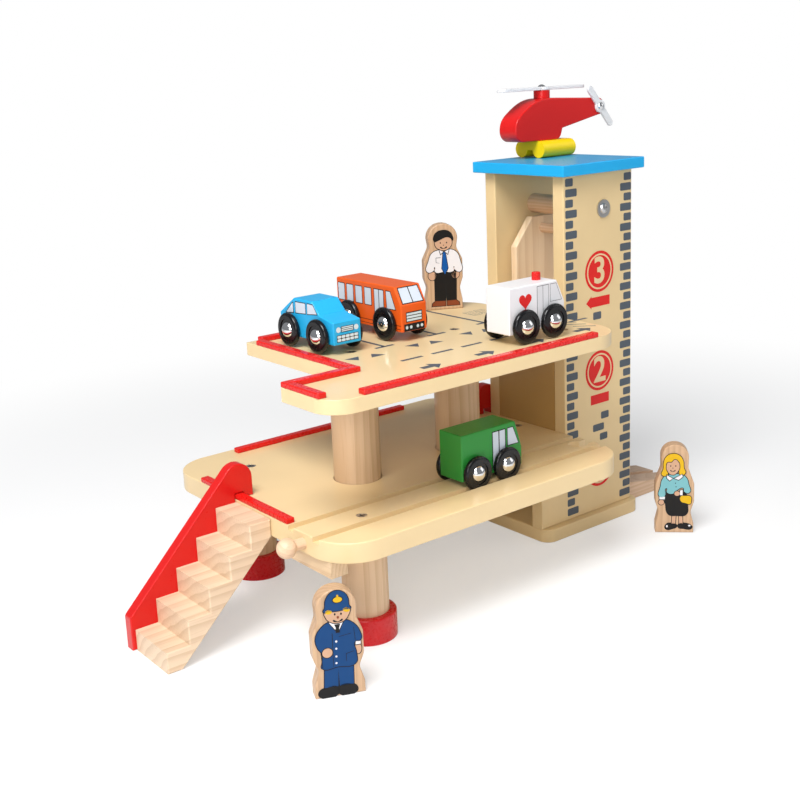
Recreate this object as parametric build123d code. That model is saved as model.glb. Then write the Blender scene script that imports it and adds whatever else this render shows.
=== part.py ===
from build123d import *
import os

# Toy parking garage with a hand-cranked lift, four wheeled vehicles, a
# helicopter, two staircases, a ramp and three standing figures.
# Millimetres. The origin is on the floor, on the middle axis of the lift
# tower. +X runs along the long edge from the decks to the ramp, +Y runs
# from the printed brick face to the crank, and +Z is up.

# ---- tower --------------------------------------------------------------
TOWER_LENGTH = 72.0        # walls along X
TOWER_DEPTH = 80.0         # over both walls along Y
WALL_T = 10.5
WALL_ABOVE_DECK = 101.0    # walls above the upper deck
BASE_T = 10.0
BASE_MARGIN = 5.5          # base beyond the brick face and the ramp side
BASE_CORNER_R = 9.0
FOOT_REACH = 25.0          # wall feet that carry the lower deck
PANEL_T = 10.5             # panel that closes the shaft between the decks
ROOF_T = 8.0
ROOF_MARGIN = 6.5
BOARD_EDGE_R = 0.8         # eased edges of all boards

# ---- decks, measured from the tower's deck side and its brick face ------
LOWER_TOP = 78.5
LOWER_T = 13.0
LOWER_LENGTH = 248.0
LOWER_FRONT = 61.8
LOWER_REAR = 66.6          # beyond the rear wall
LOWER_CORNER_R = 28.0
LOWER_STAIR_CORNER_R = 12.0
UPPER_TOP = 165.0
UPPER_T = 9.0
UPPER_LENGTH = 198.0
UPPER_FRONT = 58.8
UPPER_REAR = 31.7          # beyond the rear wall
UPPER_CORNER_R = 27.0
ARM_LENGTH = 247.0         # front arm of the upper deck
ARM_WIDTH = 51.2
ARM_CORNER_R = 18.0

# ---- track --------------------------------------------------------------
TRACK_OUT = 23.35          # track axis in front of the brick face
GAUGE = 26.0               # between the middles of the two grooves
GROOVE_W = 6.0
GROOVE_DEPTH = 3.0
PEG_REACH = 12.0           # ball centre beyond the deck end
PEG_BALL_R = 6.2
PEG_NECK_R = 3.5
PEG_TENON = 14.0
SOCKET_R = 6.8
SOCKET_NECK_W = 8.0

# ---- curbs --------------------------------------------------------------
CURB_W = 6.0
CURB_H = 3.4
CURB_EDGE_R = 0.8
CURB_INSET = 6.0           # rear curbs in from the deck's rear edge
LOWER_REAR_CURB_FROM = 198.0
LOWER_REAR_CURB_TO = 43.0
LOWER_SIDE_CURB_FRONT = 6.0
LOWER_SIDE_CURB_REAR = 100.0
UPPER_FRONT_CURB_FROM = 223.5
UPPER_FRONT_CURB_TO = 29.0
UPPER_REAR_CURB_IN = 7.5   # from the deck's side edge
UPPER_REAR_CURB_TO = 50.0
UPPER_SIDE_CURB_END = 4.0  # between the side curb and the rear curb
ARM_CURB_END = 12.0        # arm curb short of the front curb's line

# ---- legs, pillars, battens and screws ----------------------------------
LEG_R = 14.5
LEG_END_IN = 42.5          # legs in from the deck's free end
LEG_FRONT_OUT = 25.0       # front leg in front of the brick face
LEG_REAR_IN = 25.0         # rear leg behind the rear wall
RING_R = 19.0
RING_H = 16.7
RING_EDGE_R = 1.2
PILLAR_R = 16.0
PILLAR_NEAR = 74.8
PILLAR_FAR = 164.8
PILLAR_IN = 33.7           # behind the brick face
PILLAR_SEAT = 3.0          # recess in the lower deck
PILLAR_FIT = 0.6
BATTEN_W = 12.0
BATTEN_H = 10.0
BATTEN_L = 47.0
BATTEN_INSET = 2.8
TIE_BACK = 10.0            # batten between the wall feet
SCREW_L = 20.0
SCREW_R = 1.9
SCREW_HEAD_R = 3.6
SCREW_HEAD_H = 2.4
SCREW_SINK = 0.2
CROSS_W = 1.1
CROSS_L = 4.6
CROSS_DEPTH = 1.0

# ---- lift ---------------------------------------------------------------
CAR_LENGTH = 57.0
CAR_PANEL_GAP = 1.8        # to the panel between the decks
CAR_WALL_GAP = 3.0         # to each wall
CAR_SIDE_T = 6.0
CAR_FLOOR_T = 8.0
CAR_HEIGHT = 73.5
CAR_CHAMFER_X = 17.0
CAR_CHAMFER_Z = 21.0
CAR_DOWEL_R = 3.75
CAR_DOWEL_DROP = 9.2       # dowel axis below the top of the car
DRUM_R = 7.25
DRUM_DROP = 26.5           # drum axis below the top of the walls
DRUM_FIT = 0.1
DRUM_END_GAP = 0.3
CRANK_R = 22.0
CRANK_T = 8.0
CRANK_EDGE_R = 1.5
CRANK_GAP = 0.5
HANDLE_R = 4.0
HANDLE_L = 22.0
HANDLE_SEAT = 5.0
HANDLE_THROW = 15.0
PIVOT_R = 1.75
PIVOT_FIT = 0.1
PIVOT_DEPTH = 14.0         # into the drum
PIVOT_HEAD_R = 4.0
PIVOT_HEAD_H = 2.4
WASHER_R = 6.5
WASHER_T = 1.0
WASHER_GAP = 0.1

# ---- staircases ---------------------------------------------------------
STEPS = 5
STEP_RISE = 15.8
STEP_RUN = 15.6
TOP_TREAD_DROP = 1.5
STAIR_W = 42.0
STAIR_FOOT = 10.0
STAIR_EDGE_R = 1.0
STAIR_GAP = 0.3            # to the deck edge
STAIR_IN = 12.0            # left staircase behind the brick face
SIDE_T = 8.0
SIDE_HOOK = 13.3           # side board over the deck
SIDE_OVER_NOSING = 10.5
SIDE_TOP_R = 10.5
SIDE_TOE = 2.5
SIDE_TOE_R = 4.0
HOOK_FIT = 0.4             # round the curb
REAR_STAIR_GAP = 0.5       # side board to the rear wall

# ---- ramp ---------------------------------------------------------------
RAMP_GAP = 0.3
RAMP_LENGTH = 67.5
RAMP_HEIGHT = 16.8
RAMP_TOE = 4.5
RAMP_W = 44.0
RAMP_OFF_AXIS = 5.0        # it stands a little towards the brick face

# ---- wheels and vehicle bodies ------------------------------------------
WHEEL_R = 11.5
WHEEL_W = 4.3
WHEEL_SPACING = 27.2       # between the middles of a wheel pair
WHEEL_EDGE_R = 1.9
DISH_R = 7.4
DISH_DEPTH = 0.6
AXLE_R = 1.6
AXLE_FIT = 0.08
HUB_R = 5.4
HUB_H = 3.1
BODY_W = 22.0
UNDERSIDE = 6.8
BODY_EDGE_R = 0.9
ROLL_GAP = 0.2             # wheels above what they roll on

VAN_LENGTH = 53.3
VAN_HEIGHT = 38.2
VAN_ROOF_FRONT = 5.8       # roof edge behind the nose
VAN_SCREEN_FOOT = 19.6
VAN_REAR_AXLE = 11.1
VAN_FRONT_AXLE = 37.4
VAN_BACK = 131.0

AMBULANCE_LENGTH = 51.0
AMBULANCE_HEIGHT = 38.0
AMBULANCE_ROOF_FRONT = 7.2
AMBULANCE_SCREEN_FOOT = 23.0
AMBULANCE_REAR_AXLE = 12.6
AMBULANCE_FRONT_AXLE = 38.4
AMBULANCE_BACK = 87.3
AMBULANCE_OUT = 24.0
BEACON_R = 3.0
BEACON_H = 5.3
BEACON_X = 35.6

CAR_BODY_LENGTH = 62.5
CAR_BODY_HEIGHT = 33.2
CAR_TAIL_H = 21.7
CAR_ROOF_REAR = 17.5
CAR_ROOF_FRONT = 38.5
CAR_SCREEN_FOOT_X = 46.5
CAR_SCREEN_FOOT_Z = 25.0
CAR_NOSE_H = 22.0
CAR_REAR_AXLE = 13.7
CAR_FRONT_AXLE = 47.4
CAR_BACK = 170.0
CAR_TAIL_IN = 92.0

BUS_LENGTH = 73.0
BUS_HEIGHT = 37.2
BUS_ROOF_FRONT = 7.0
BUS_SCREEN_FOOT = 25.0
BUS_REAR_AXLE = 16.8
BUS_FRONT_AXLE = 57.5
BUS_BACK = 116.3
BUS_TAIL_IN = 99.8

# ---- helicopter, from its nose and its underside ------------------------
HELI_NOSE = 13.5           # from the tower's deck side
HELI_IN = 69.0             # middle plane behind the brick face
HELI_W = 18.0
HELI_EDGE_R = 1.0
HELI_NOSE_Z = 8.5
HELI_TOP = 31.0
HELI_BROW_X = 7.9
HELI_BROW_Z = 21.4
HELI_CABIN_X = 34.2
HELI_BELLY_X = 47.0
HELI_BELLY_R = 5.5
HELI_BOOM_X = 49.7
HELI_BOOM_Z = 8.0
TAIL_X = 89.8
TAIL_Z = 22.3
TAIL_R = 6.5
SKID_R = 6.3
SKID_SPACING = 18.0
SKID_FROM = 23.0
SKID_L = 34.0
SKID_WEB_T = 7.0
MAST_R = 6.1
MAST_X = 36.4
MAST_H = 5.8
MAIN_BLADE_L = 89.0
MAIN_BLADE_W = 9.0
MAIN_BLADE_T = 2.4
MAIN_HUB_R = 6.0
TAIL_BLADE_L = 40.0
TAIL_BLADE_W = 5.5
TAIL_BLADE_T = 2.0
TAIL_HUB_R = 5.0
TAIL_TILT = 49.3           # blade turned down towards the tail, degrees
ROTOR_GAP = 0.2
PIN_R = 1.5
PIN_FIT = 0.08
PIN_DEPTH = 8.0
PIN_HEAD_R = 2.9
PIN_HEAD_H = 1.6

# ---- figures ------------------------------------------------------------
FIGURE_T = 10.0
FIGURE_EDGE_R = 1.0
FIGURE_BEND_R = 6.0        # bends of the outline
HEAD_FLAT = 0.4            # half of the flat at the very top
FOOT_H = 7.0
WAIST_Z = 16.5
HIP_Z = 24.0
SHOULDER_Z = 38.0
NECK_DOWN = 18.0           # below the top of the head arch
OFFICE_H = 65.3
OFFICE_HEAD_W = 22.7
OFFICE_NECK_W = 20.6
OFFICE_BODY_W = 29.6
OFFICE_WAIST_W = 24.6
OFFICE_FOOT_W = 28.3
OFFICE_BACK = 34.0
OFFICE_IN = 91.3
OFFICE_TURN = -28.0
SHOPPER_H = 68.3
SHOPPER_HEAD_W = 19.8
SHOPPER_NECK_W = 19.3
SHOPPER_BODY_W = 28.0
SHOPPER_WAIST_W = 23.0
SHOPPER_FOOT_W = 27.5
SHOPPER_AHEAD = 58.9       # towards the ramp from the deck side
SHOPPER_OUT = 53.3
SHOPPER_TURN = -45.0
POLICE_H = 65.0
POLICE_HEAD_W = 23.5
POLICE_NECK_W = 22.6
POLICE_BODY_W = 29.5
POLICE_WAIST_W = 23.4
POLICE_FOOT_W = 29.2
POLICE_BACK = 263.0
POLICE_OUT = 76.1
POLICE_TURN = -23.0

# ---- places that follow from the sizes ----------------------------------
DECK_SIDE_X = -TOWER_LENGTH / 2
RAMP_SIDE_X = TOWER_LENGTH / 2
FRONT_Y = -TOWER_DEPTH / 2
REAR_Y = TOWER_DEPTH / 2
INNER_FRONT_Y = FRONT_Y + WALL_T
INNER_REAR_Y = REAR_Y - WALL_T
WALL_TOP = UPPER_TOP + WALL_ABOVE_DECK
LOWER_UNDER = LOWER_TOP - LOWER_T
UPPER_UNDER = UPPER_TOP - UPPER_T
TRACK_Y = FRONT_Y - TRACK_OUT
DECK_END_X = DECK_SIDE_X - LOWER_LENGTH
CAR_X0 = DECK_SIDE_X + PANEL_T + CAR_PANEL_GAP
CAR_X1 = CAR_X0 + CAR_LENGTH
CAR_MID_X = (CAR_X0 + CAR_X1) / 2
CAR_BOTTOM = UPPER_TOP - CAR_FLOOR_T
CAR_TOP = CAR_BOTTOM + CAR_HEIGHT
DRUM_Z = WALL_TOP - DRUM_DROP
CRANK_Y = REAR_Y + CRANK_GAP
LEG_X = DECK_END_X + LEG_END_IN
LEG_YS = (FRONT_Y - LEG_FRONT_OUT, REAR_Y + LEG_REAR_IN)
PILLAR_XS = (DECK_SIDE_X - PILLAR_FAR, DECK_SIDE_X - PILLAR_NEAR)
PILLAR_Y = FRONT_Y + PILLAR_IN
TIE_X = DECK_SIDE_X - TIE_BACK
ROOF_TOP = WALL_TOP + ROOF_T
LEG_TOPS = [(LEG_X, y, LOWER_TOP) for y in LEG_YS]
PILLAR_TOPS = [(x, PILLAR_Y, UPPER_TOP) for x in PILLAR_XS]
TIE_TOP = [(TIE_X, 0.0, LOWER_TOP)]


# ---- helpers ------------------------------------------------------------
def block(x0, x1, y0, y1, z0, z1):
    """Box between two corners."""
    middle = ((x0 + x1) / 2, (y0 + y1) / 2, (z0 + z1) / 2)
    return Pos(*middle) * Box(x1 - x0, y1 - y0, z1 - z0)


def plate(corners, z0, z1):
    """Flat board whose outline runs through (x, y, corner radius)."""
    face = make_face(Polyline(*[(x, y) for x, y, r in corners], close=True))
    for x, y, radius in corners:
        if radius > 0:
            corner = face.vertices().sort_by_distance((x, y, 0))[0]
            face = fillet(corner, radius)
    return Pos(0, 0, z0) * extrude(face, z1 - z0)


def profile_y(points, y0, y1):
    """Outline of (x, z) points drawn out along Y."""
    outline = Polyline(*[(x, y0, z) for x, z in points], close=True)
    return extrude(make_face(outline), y1 - y0, dir=(0, 1, 0))


def rod_y(radius, x, z, y0, y1):
    """Round bar along Y."""
    return Pos(x, (y0 + y1) / 2, z) * Rot(90, 0, 0) * Cylinder(radius, y1 - y0)


def rod_z(radius, x, y, z0, z1):
    """Round bar along Z."""
    return Pos(x, y, (z0 + z1) / 2) * Cylinder(radius, z1 - z0)


def eased(shape, radius, axis):
    """Rounds the rims of the faces that look along an axis."""
    return fillet(shape.faces().filter_by(axis).edges(), radius)


def dome(radius, height):
    """Low round cap that stands on Z = 0."""
    ball_r = (radius ** 2 + height ** 2) / (2 * height)
    ball = Pos(0, 0, height - ball_r) * Sphere(ball_r)
    return split(ball, bisect_by=Plane.XY, keep=Keep.TOP)


def cross(width, length, z0, z1):
    """Two crossed slots of a screw head."""
    half = length / 2
    bar = block(-half, half, -width / 2, width / 2, z0, z1)
    return bar + Rot(0, 0, 90) * bar


# ---- tower --------------------------------------------------------------
def make_base_plate():
    """Board under both walls and their feet, flush at the rear."""
    x0 = DECK_SIDE_X - FOOT_REACH
    x1 = RAMP_SIDE_X + BASE_MARGIN
    y0 = FRONT_Y - BASE_MARGIN
    corners = [(x0, y0, BASE_CORNER_R), (x1, y0, BASE_CORNER_R), (x1, REAR_Y, 0), (x0, REAR_Y, 0)]
    return eased(plate(corners, 0, BASE_T), BOARD_EDGE_R, Axis.Z)


def make_wall(y0, y1):
    """Tall wall with a foot that reaches under the lower deck."""
    foot_x = DECK_SIDE_X - FOOT_REACH
    outline = [
        (foot_x, BASE_T),
        (RAMP_SIDE_X, BASE_T),
        (RAMP_SIDE_X, WALL_TOP),
        (DECK_SIDE_X, WALL_TOP),
        (DECK_SIDE_X, LOWER_UNDER),
        (foot_x, LOWER_UNDER),
    ]
    return eased(profile_y(outline, y0, y1), BOARD_EDGE_R, Axis.Y)


def make_front_wall():
    """Brick-printed wall with the hole for the drum's pivot screw."""
    hole = rod_y(PIVOT_R + PIVOT_FIT, CAR_MID_X, DRUM_Z, FRONT_Y, INNER_FRONT_Y)
    return make_wall(FRONT_Y, INNER_FRONT_Y) - hole


def make_rear_wall():
    """Wall on the crank side with the bearing hole of the drum."""
    hole = rod_y(DRUM_R + DRUM_FIT, CAR_MID_X, DRUM_Z, INNER_REAR_Y, REAR_Y)
    return make_wall(INNER_REAR_Y, REAR_Y) - hole


def make_level_two_panel():
    """Panel that closes the deck side of the shaft between the decks."""
    x1 = DECK_SIDE_X + PANEL_T
    return block(DECK_SIDE_X, x1, INNER_FRONT_Y, INNER_REAR_Y, LOWER_UNDER, UPPER_TOP)


def make_roof():
    """Landing roof with an even overhang."""
    x0 = DECK_SIDE_X - ROOF_MARGIN
    x1 = RAMP_SIDE_X + ROOF_MARGIN
    y0 = FRONT_Y - ROOF_MARGIN
    y1 = REAR_Y + ROOF_MARGIN
    board = block(x0, x1, y0, y1, WALL_TOP, ROOF_TOP)
    return fillet(board.edges(), BOARD_EDGE_R)


# ---- lift ---------------------------------------------------------------
def car_side(y0, y1):
    """Side panel of the lift car with two chamfered shoulders and the dowel hole."""
    outline = [
        (CAR_X0, CAR_BOTTOM),
        (CAR_X1, CAR_BOTTOM),
        (CAR_X1, CAR_TOP - CAR_CHAMFER_Z),
        (CAR_X1 - CAR_CHAMFER_X, CAR_TOP),
        (CAR_X0 + CAR_CHAMFER_X, CAR_TOP),
        (CAR_X0, CAR_TOP - CAR_CHAMFER_Z),
    ]
    panel = eased(profile_y(outline, y0, y1), BOARD_EDGE_R, Axis.Y)
    return panel - rod_y(CAR_DOWEL_R, CAR_MID_X, CAR_TOP - CAR_DOWEL_DROP, y0, y1)


def make_car():
    """Side panels, floor and carrying dowel of the lift car."""
    front0 = INNER_FRONT_Y + CAR_WALL_GAP
    front1 = front0 + CAR_SIDE_T
    rear1 = INNER_REAR_Y - CAR_WALL_GAP
    rear0 = rear1 - CAR_SIDE_T
    floor = block(CAR_X0, CAR_X1, front1, rear0, CAR_BOTTOM, UPPER_TOP)
    dowel = rod_y(CAR_DOWEL_R, CAR_MID_X, CAR_TOP - CAR_DOWEL_DROP, front0, rear1)
    return {
        "car_side_front": car_side(front0, front1),
        "car_side_rear": car_side(rear0, rear1),
        "car_floor": floor,
        "car_dowel": dowel,
    }


def make_winch():
    """Drum in the rear wall, crank outside, pivot screw and washer in front."""
    drum0 = INNER_FRONT_Y + DRUM_END_GAP
    drum1 = CRANK_Y + CRANK_T
    drum = rod_y(DRUM_R, CAR_MID_X, DRUM_Z, drum0, drum1)
    screw_hole = rod_y(PIVOT_R, CAR_MID_X, DRUM_Z, drum0, drum0 + PIVOT_DEPTH)
    wheel = eased(rod_y(CRANK_R, CAR_MID_X, DRUM_Z, CRANK_Y, drum1), CRANK_EDGE_R, Axis.Y)
    wheel -= rod_y(DRUM_R, CAR_MID_X, DRUM_Z, CRANK_Y, drum1)
    handle_x = CAR_MID_X + HANDLE_THROW
    seat = drum1 - HANDLE_SEAT
    handle = rod_y(HANDLE_R, handle_x, DRUM_Z, seat, drum1 + HANDLE_L)
    wheel -= rod_y(HANDLE_R, handle_x, DRUM_Z, seat, drum1)
    handle = fillet(handle.edges().sort_by(Axis.Y)[-1], HANDLE_R / 2)
    washer1 = FRONT_Y - WASHER_GAP
    washer0 = washer1 - WASHER_T
    washer = rod_y(WASHER_R, CAR_MID_X, DRUM_Z, washer0, washer1)
    washer -= rod_y(PIVOT_R, CAR_MID_X, DRUM_Z, washer0, washer1)
    head = dome(PIVOT_HEAD_R, PIVOT_HEAD_H)
    head -= cross(CROSS_W, CROSS_L, PIVOT_HEAD_H - CROSS_DEPTH, PIVOT_HEAD_H)
    screw = Pos(CAR_MID_X, washer0, DRUM_Z) * Rot(90, 0, 0) * head
    screw += rod_y(PIVOT_R, CAR_MID_X, DRUM_Z, washer0, drum0 + PIVOT_DEPTH)
    return {
        "winch_drum": drum - screw_hole,
        "crank_wheel": wheel,
        "crank_handle": handle,
        "pivot_screw": screw,
        "pivot_washer": washer,
    }


# ---- decks --------------------------------------------------------------
def screw_at(x, y, z):
    """Countersunk wood screw with its head just under the surface."""
    top = z - SCREW_SINK
    head = Pos(0, 0, -SCREW_HEAD_H / 2) * Cone(SCREW_R, SCREW_HEAD_R, SCREW_HEAD_H)
    shank = rod_z(SCREW_R, 0, 0, -SCREW_L, -SCREW_HEAD_H)
    slots = cross(CROSS_W, CROSS_L, -CROSS_DEPTH, 0)
    return Pos(x, y, top) * (head + shank - slots)


def screw_cut(x, y, z):
    """Space that a countersunk screw takes, open to the surface."""
    top = z - SCREW_SINK
    head = Pos(0, 0, -SCREW_HEAD_H / 2) * Cone(SCREW_R, SCREW_HEAD_R, SCREW_HEAD_H)
    shank = rod_z(SCREW_R, 0, 0, -SCREW_L, -SCREW_HEAD_H)
    mouth = rod_z(SCREW_HEAD_R, 0, 0, 0, SCREW_SINK)
    return Pos(x, y, top) * (head + shank + mouth)


def without_screws(shape, tops):
    """Cuts the screw spaces out of a piece."""
    for top in tops:
        shape -= screw_cut(*top)
    return shape


def make_lower_deck():
    """Thick deck with track grooves, peg bore, keyhole socket and pillar seats."""
    y0 = FRONT_Y - LOWER_FRONT
    y1 = REAR_Y + LOWER_REAR
    corners = [
        (DECK_END_X, y0, LOWER_CORNER_R),
        (DECK_SIDE_X, y0, LOWER_CORNER_R),
        (DECK_SIDE_X, y1, LOWER_STAIR_CORNER_R),
        (DECK_END_X, y1, LOWER_CORNER_R),
    ]
    deck = eased(plate(corners, LOWER_UNDER, LOWER_TOP), BOARD_EDGE_R, Axis.Z)
    groove_z = LOWER_TOP - GROOVE_DEPTH
    for side in (-1, 1):
        y = TRACK_Y + side * GAUGE / 2
        half = GROOVE_W / 2
        deck -= block(DECK_END_X, DECK_SIDE_X, y - half, y + half, groove_z, LOWER_TOP)
    socket_x = DECK_SIDE_X - PEG_REACH
    half = SOCKET_NECK_W / 2
    deck -= rod_z(SOCKET_R, socket_x, TRACK_Y, LOWER_UNDER, LOWER_TOP)
    deck -= block(socket_x, DECK_SIDE_X, TRACK_Y - half, TRACK_Y + half, LOWER_UNDER, LOWER_TOP)
    bore_x = DECK_END_X + PEG_TENON / 2
    bore = Rot(0, 90, 0) * Cylinder(PEG_NECK_R, PEG_TENON)
    deck -= Pos(bore_x, TRACK_Y, LOWER_TOP - LOWER_T / 2) * bore
    for x in PILLAR_XS:
        seat_z = LOWER_TOP - PILLAR_SEAT
        deck -= rod_z(PILLAR_R + PILLAR_FIT, x, PILLAR_Y, seat_z, LOWER_TOP)
    return without_screws(deck, LEG_TOPS + TIE_TOP)


def make_upper_deck():
    """Thin deck with a front arm, notched at its far rear corner."""
    y0 = FRONT_Y - UPPER_FRONT
    y1 = REAR_Y + UPPER_REAR
    arm_x = DECK_SIDE_X - ARM_LENGTH
    notch_x = DECK_SIDE_X - UPPER_LENGTH
    notch_y = y0 + ARM_WIDTH
    corners = [
        (arm_x, y0, ARM_CORNER_R),
        (DECK_SIDE_X, y0, UPPER_CORNER_R),
        (DECK_SIDE_X, y1, UPPER_CORNER_R),
        (notch_x, y1, BOARD_EDGE_R),
        (notch_x, notch_y, 0),
        (arm_x, notch_y, BOARD_EDGE_R),
    ]
    deck = plate(corners, UPPER_UNDER, UPPER_TOP)
    return without_screws(eased(deck, BOARD_EDGE_R / 2, Axis.Z), PILLAR_TOPS)


def curb(x0, x1, y0, y1, z):
    """Red wooden curb on a deck."""
    return fillet(block(x0, x1, y0, y1, z, z + CURB_H).edges(), CURB_EDGE_R)


def make_lower_curbs():
    """Curbs at the rear and at the free end of the lower deck."""
    rear1 = REAR_Y + LOWER_REAR - CURB_INSET
    rear0 = rear1 - CURB_W
    far = DECK_SIDE_X - LOWER_REAR_CURB_FROM
    near = DECK_SIDE_X - LOWER_REAR_CURB_TO
    side0 = FRONT_Y - LOWER_SIDE_CURB_FRONT
    side1 = FRONT_Y + LOWER_SIDE_CURB_REAR
    rear = curb(far, near, rear0, rear1, LOWER_TOP)
    side = curb(DECK_END_X, DECK_END_X + CURB_W, side0, side1, LOWER_TOP)
    return rear + side


def make_upper_curbs():
    """Five curbs: front, rear, side, notch and arm end."""
    y0 = FRONT_Y - UPPER_FRONT
    y1 = REAR_Y + UPPER_REAR
    notch_y = y0 + ARM_WIDTH
    notch_x = DECK_SIDE_X - UPPER_LENGTH
    arm_x = DECK_SIDE_X - ARM_LENGTH
    rear1 = y1 - CURB_INSET / 2
    rear0 = rear1 - CURB_W
    front_x0 = DECK_SIDE_X - UPPER_FRONT_CURB_FROM
    front_x1 = DECK_SIDE_X - UPPER_FRONT_CURB_TO
    rear_x1 = DECK_SIDE_X - UPPER_REAR_CURB_TO
    side1 = rear0 - UPPER_SIDE_CURB_END
    arm0 = y0 + ARM_CURB_END
    runs = [
        (front_x0, front_x1, y0, y0 + CURB_W),
        (notch_x + UPPER_REAR_CURB_IN, rear_x1, rear0, rear1),
        (notch_x, notch_x + CURB_W, notch_y, side1),
        (arm_x, notch_x + CURB_W, notch_y - CURB_W, notch_y),
        (arm_x, arm_x + CURB_W, arm0, notch_y - CURB_W),
    ]
    return Compound([curb(*run, UPPER_TOP).solid() for run in runs])


def make_legs_and_pillars():
    """Round legs with foot rings under the lower deck, pillars between the decks."""
    legs = []
    rings = []
    for y in LEG_YS:
        leg = rod_z(LEG_R, LEG_X, y, 0, LOWER_UNDER)
        ring = rod_z(RING_R, LEG_X, y, 0, RING_H)
        ring = fillet(ring.edges().sort_by(Axis.Z)[-1], RING_EDGE_R)
        rings.append((ring - rod_z(LEG_R, LEG_X, y, 0, RING_H)).solid())
        legs.append(without_screws(leg, LEG_TOPS).solid())
    pillars = []
    for x in PILLAR_XS:
        pillar = rod_z(PILLAR_R, x, PILLAR_Y, LOWER_TOP - PILLAR_SEAT, UPPER_UNDER)
        pillars.append(without_screws(pillar, PILLAR_TOPS).solid())
    return {
        "deck_legs": Compound(legs),
        "foot_rings": Compound(rings),
        "deck_pillars": Compound(pillars),
    }


def make_battens():
    """Stiffener under the track peg and the tie between the wall feet."""
    z0 = LOWER_UNDER - BATTEN_H
    x0 = DECK_END_X + BATTEN_INSET
    half = BATTEN_L / 2
    end = block(x0, x0 + BATTEN_W, TRACK_Y - half, TRACK_Y + half, z0, LOWER_UNDER)
    tie_x0 = TIE_X - BATTEN_W / 2
    tie_x1 = TIE_X + BATTEN_W / 2
    tie = block(tie_x0, tie_x1, INNER_FRONT_Y, INNER_REAR_Y, z0, LOWER_UNDER)
    tie = without_screws(tie, TIE_TOP)
    return Compound([end.solid(), tie.solid()])


def make_track_peg():
    """Ball on a round neck, glued into the end of the lower deck."""
    z = LOWER_TOP - LOWER_T / 2
    ball_x = DECK_END_X - PEG_REACH
    length = PEG_REACH + PEG_TENON
    neck = Pos(ball_x + length / 2, TRACK_Y, z) * Rot(0, 90, 0) * Cylinder(PEG_NECK_R, length)
    return neck + Pos(ball_x, TRACK_Y, z) * Rot(0, 90, 0) * Sphere(PEG_BALL_R)


def make_deck_screws():
    """Five equal screws over the legs, the tie batten and the pillars."""
    tops = LEG_TOPS + TIE_TOP + PILLAR_TOPS
    return Compound([screw_at(*top).solid() for top in tops])


# ---- staircases and ramp ------------------------------------------------
def stair_body():
    """Stepped block; x = 0 at the deck edge, steps going down towards -X."""
    top = LOWER_TOP - TOP_TREAD_DROP
    points = [(-STAIR_GAP, LOWER_UNDER), (-STAIR_GAP, top)]
    for step in range(STEPS):
        nosing_x = -(step + 1) * STEP_RUN
        tread_z = top - step * STEP_RISE
        points.append((nosing_x, tread_z))
        if step < STEPS - 1:
            points.append((nosing_x, tread_z - STEP_RISE))
    toe_x = -STEPS * STEP_RUN
    points += [(toe_x, 0), (toe_x + STAIR_FOOT, 0)]
    return eased(profile_y(points, 0, STAIR_W), STAIR_EDGE_R, Axis.Y)


def stair_side():
    """Side board that follows the steps and hooks over the deck edge and curb."""
    top = LOWER_TOP - TOP_TREAD_DROP
    slope = STEP_RISE / STEP_RUN
    toe_x = -STEPS * STEP_RUN
    end_x = toe_x - SIDE_TOE
    line_at_deck = top + STEP_RISE + SIDE_OVER_NOSING
    hook_x = CURB_W + HOOK_FIT
    hook_z = LOWER_TOP + CURB_H + HOOK_FIT
    points = [
        (toe_x + STAIR_FOOT, 0),
        (-STAIR_GAP, LOWER_UNDER),
        (-STAIR_GAP, hook_z),
        (hook_x, hook_z),
        (hook_x, LOWER_TOP),
        (SIDE_HOOK, LOWER_TOP),
        (SIDE_HOOK, line_at_deck + slope * SIDE_HOOK),
        (end_x, line_at_deck + slope * end_x),
        (end_x, 0),
    ]
    board = profile_y(points, STAIR_W, STAIR_W + SIDE_T)
    uprights = board.edges().filter_by(Axis.Y)
    peak = uprights.sort_by(Axis.Z)[-1]
    board = fillet(peak, SIDE_TOP_R)
    shoulder = (end_x, STAIR_W, line_at_deck + slope * end_x)
    toe = board.edges().filter_by(Axis.Y).sort_by_distance(shoulder)[0]
    board = fillet(toe, SIDE_TOE_R)
    return eased(board, BOARD_EDGE_R, Axis.Y)


def make_stairs():
    """Two equal staircases: at the free end, and behind the tower turned half round."""
    left = Pos(DECK_END_X, FRONT_Y + STAIR_IN, 0)
    rear_y = REAR_Y + REAR_STAIR_GAP + SIDE_T + STAIR_W
    rear = Pos(DECK_SIDE_X, rear_y, 0) * Rot(0, 0, 180)
    return {
        "stairs_left": left * stair_body(),
        "stairs_left_side": left * stair_side(),
        "stairs_rear": rear * stair_body(),
        "stairs_rear_side": rear * stair_side(),
    }


def make_ramp():
    """Wedge against the base plate with one lengthwise groove."""
    x0 = RAMP_SIDE_X + BASE_MARGIN + RAMP_GAP
    x1 = x0 + RAMP_LENGTH
    y0 = -RAMP_OFF_AXIS - RAMP_W / 2
    y1 = y0 + RAMP_W
    wedge = profile_y([(x0, 0), (x1, 0), (x1, RAMP_TOE), (x0, RAMP_HEIGHT)], y0, y1)
    wedge = eased(wedge, BOARD_EDGE_R, Axis.Y)
    half = GROOVE_W / 2
    floor = [
        (x0, RAMP_HEIGHT - GROOVE_DEPTH),
        (x1, RAMP_TOE - GROOVE_DEPTH),
        (x1, RAMP_TOE),
        (x0, RAMP_HEIGHT),
    ]
    middle = (y0 + y1) / 2
    return wedge - profile_y(floor, middle - half, middle + half)


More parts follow.
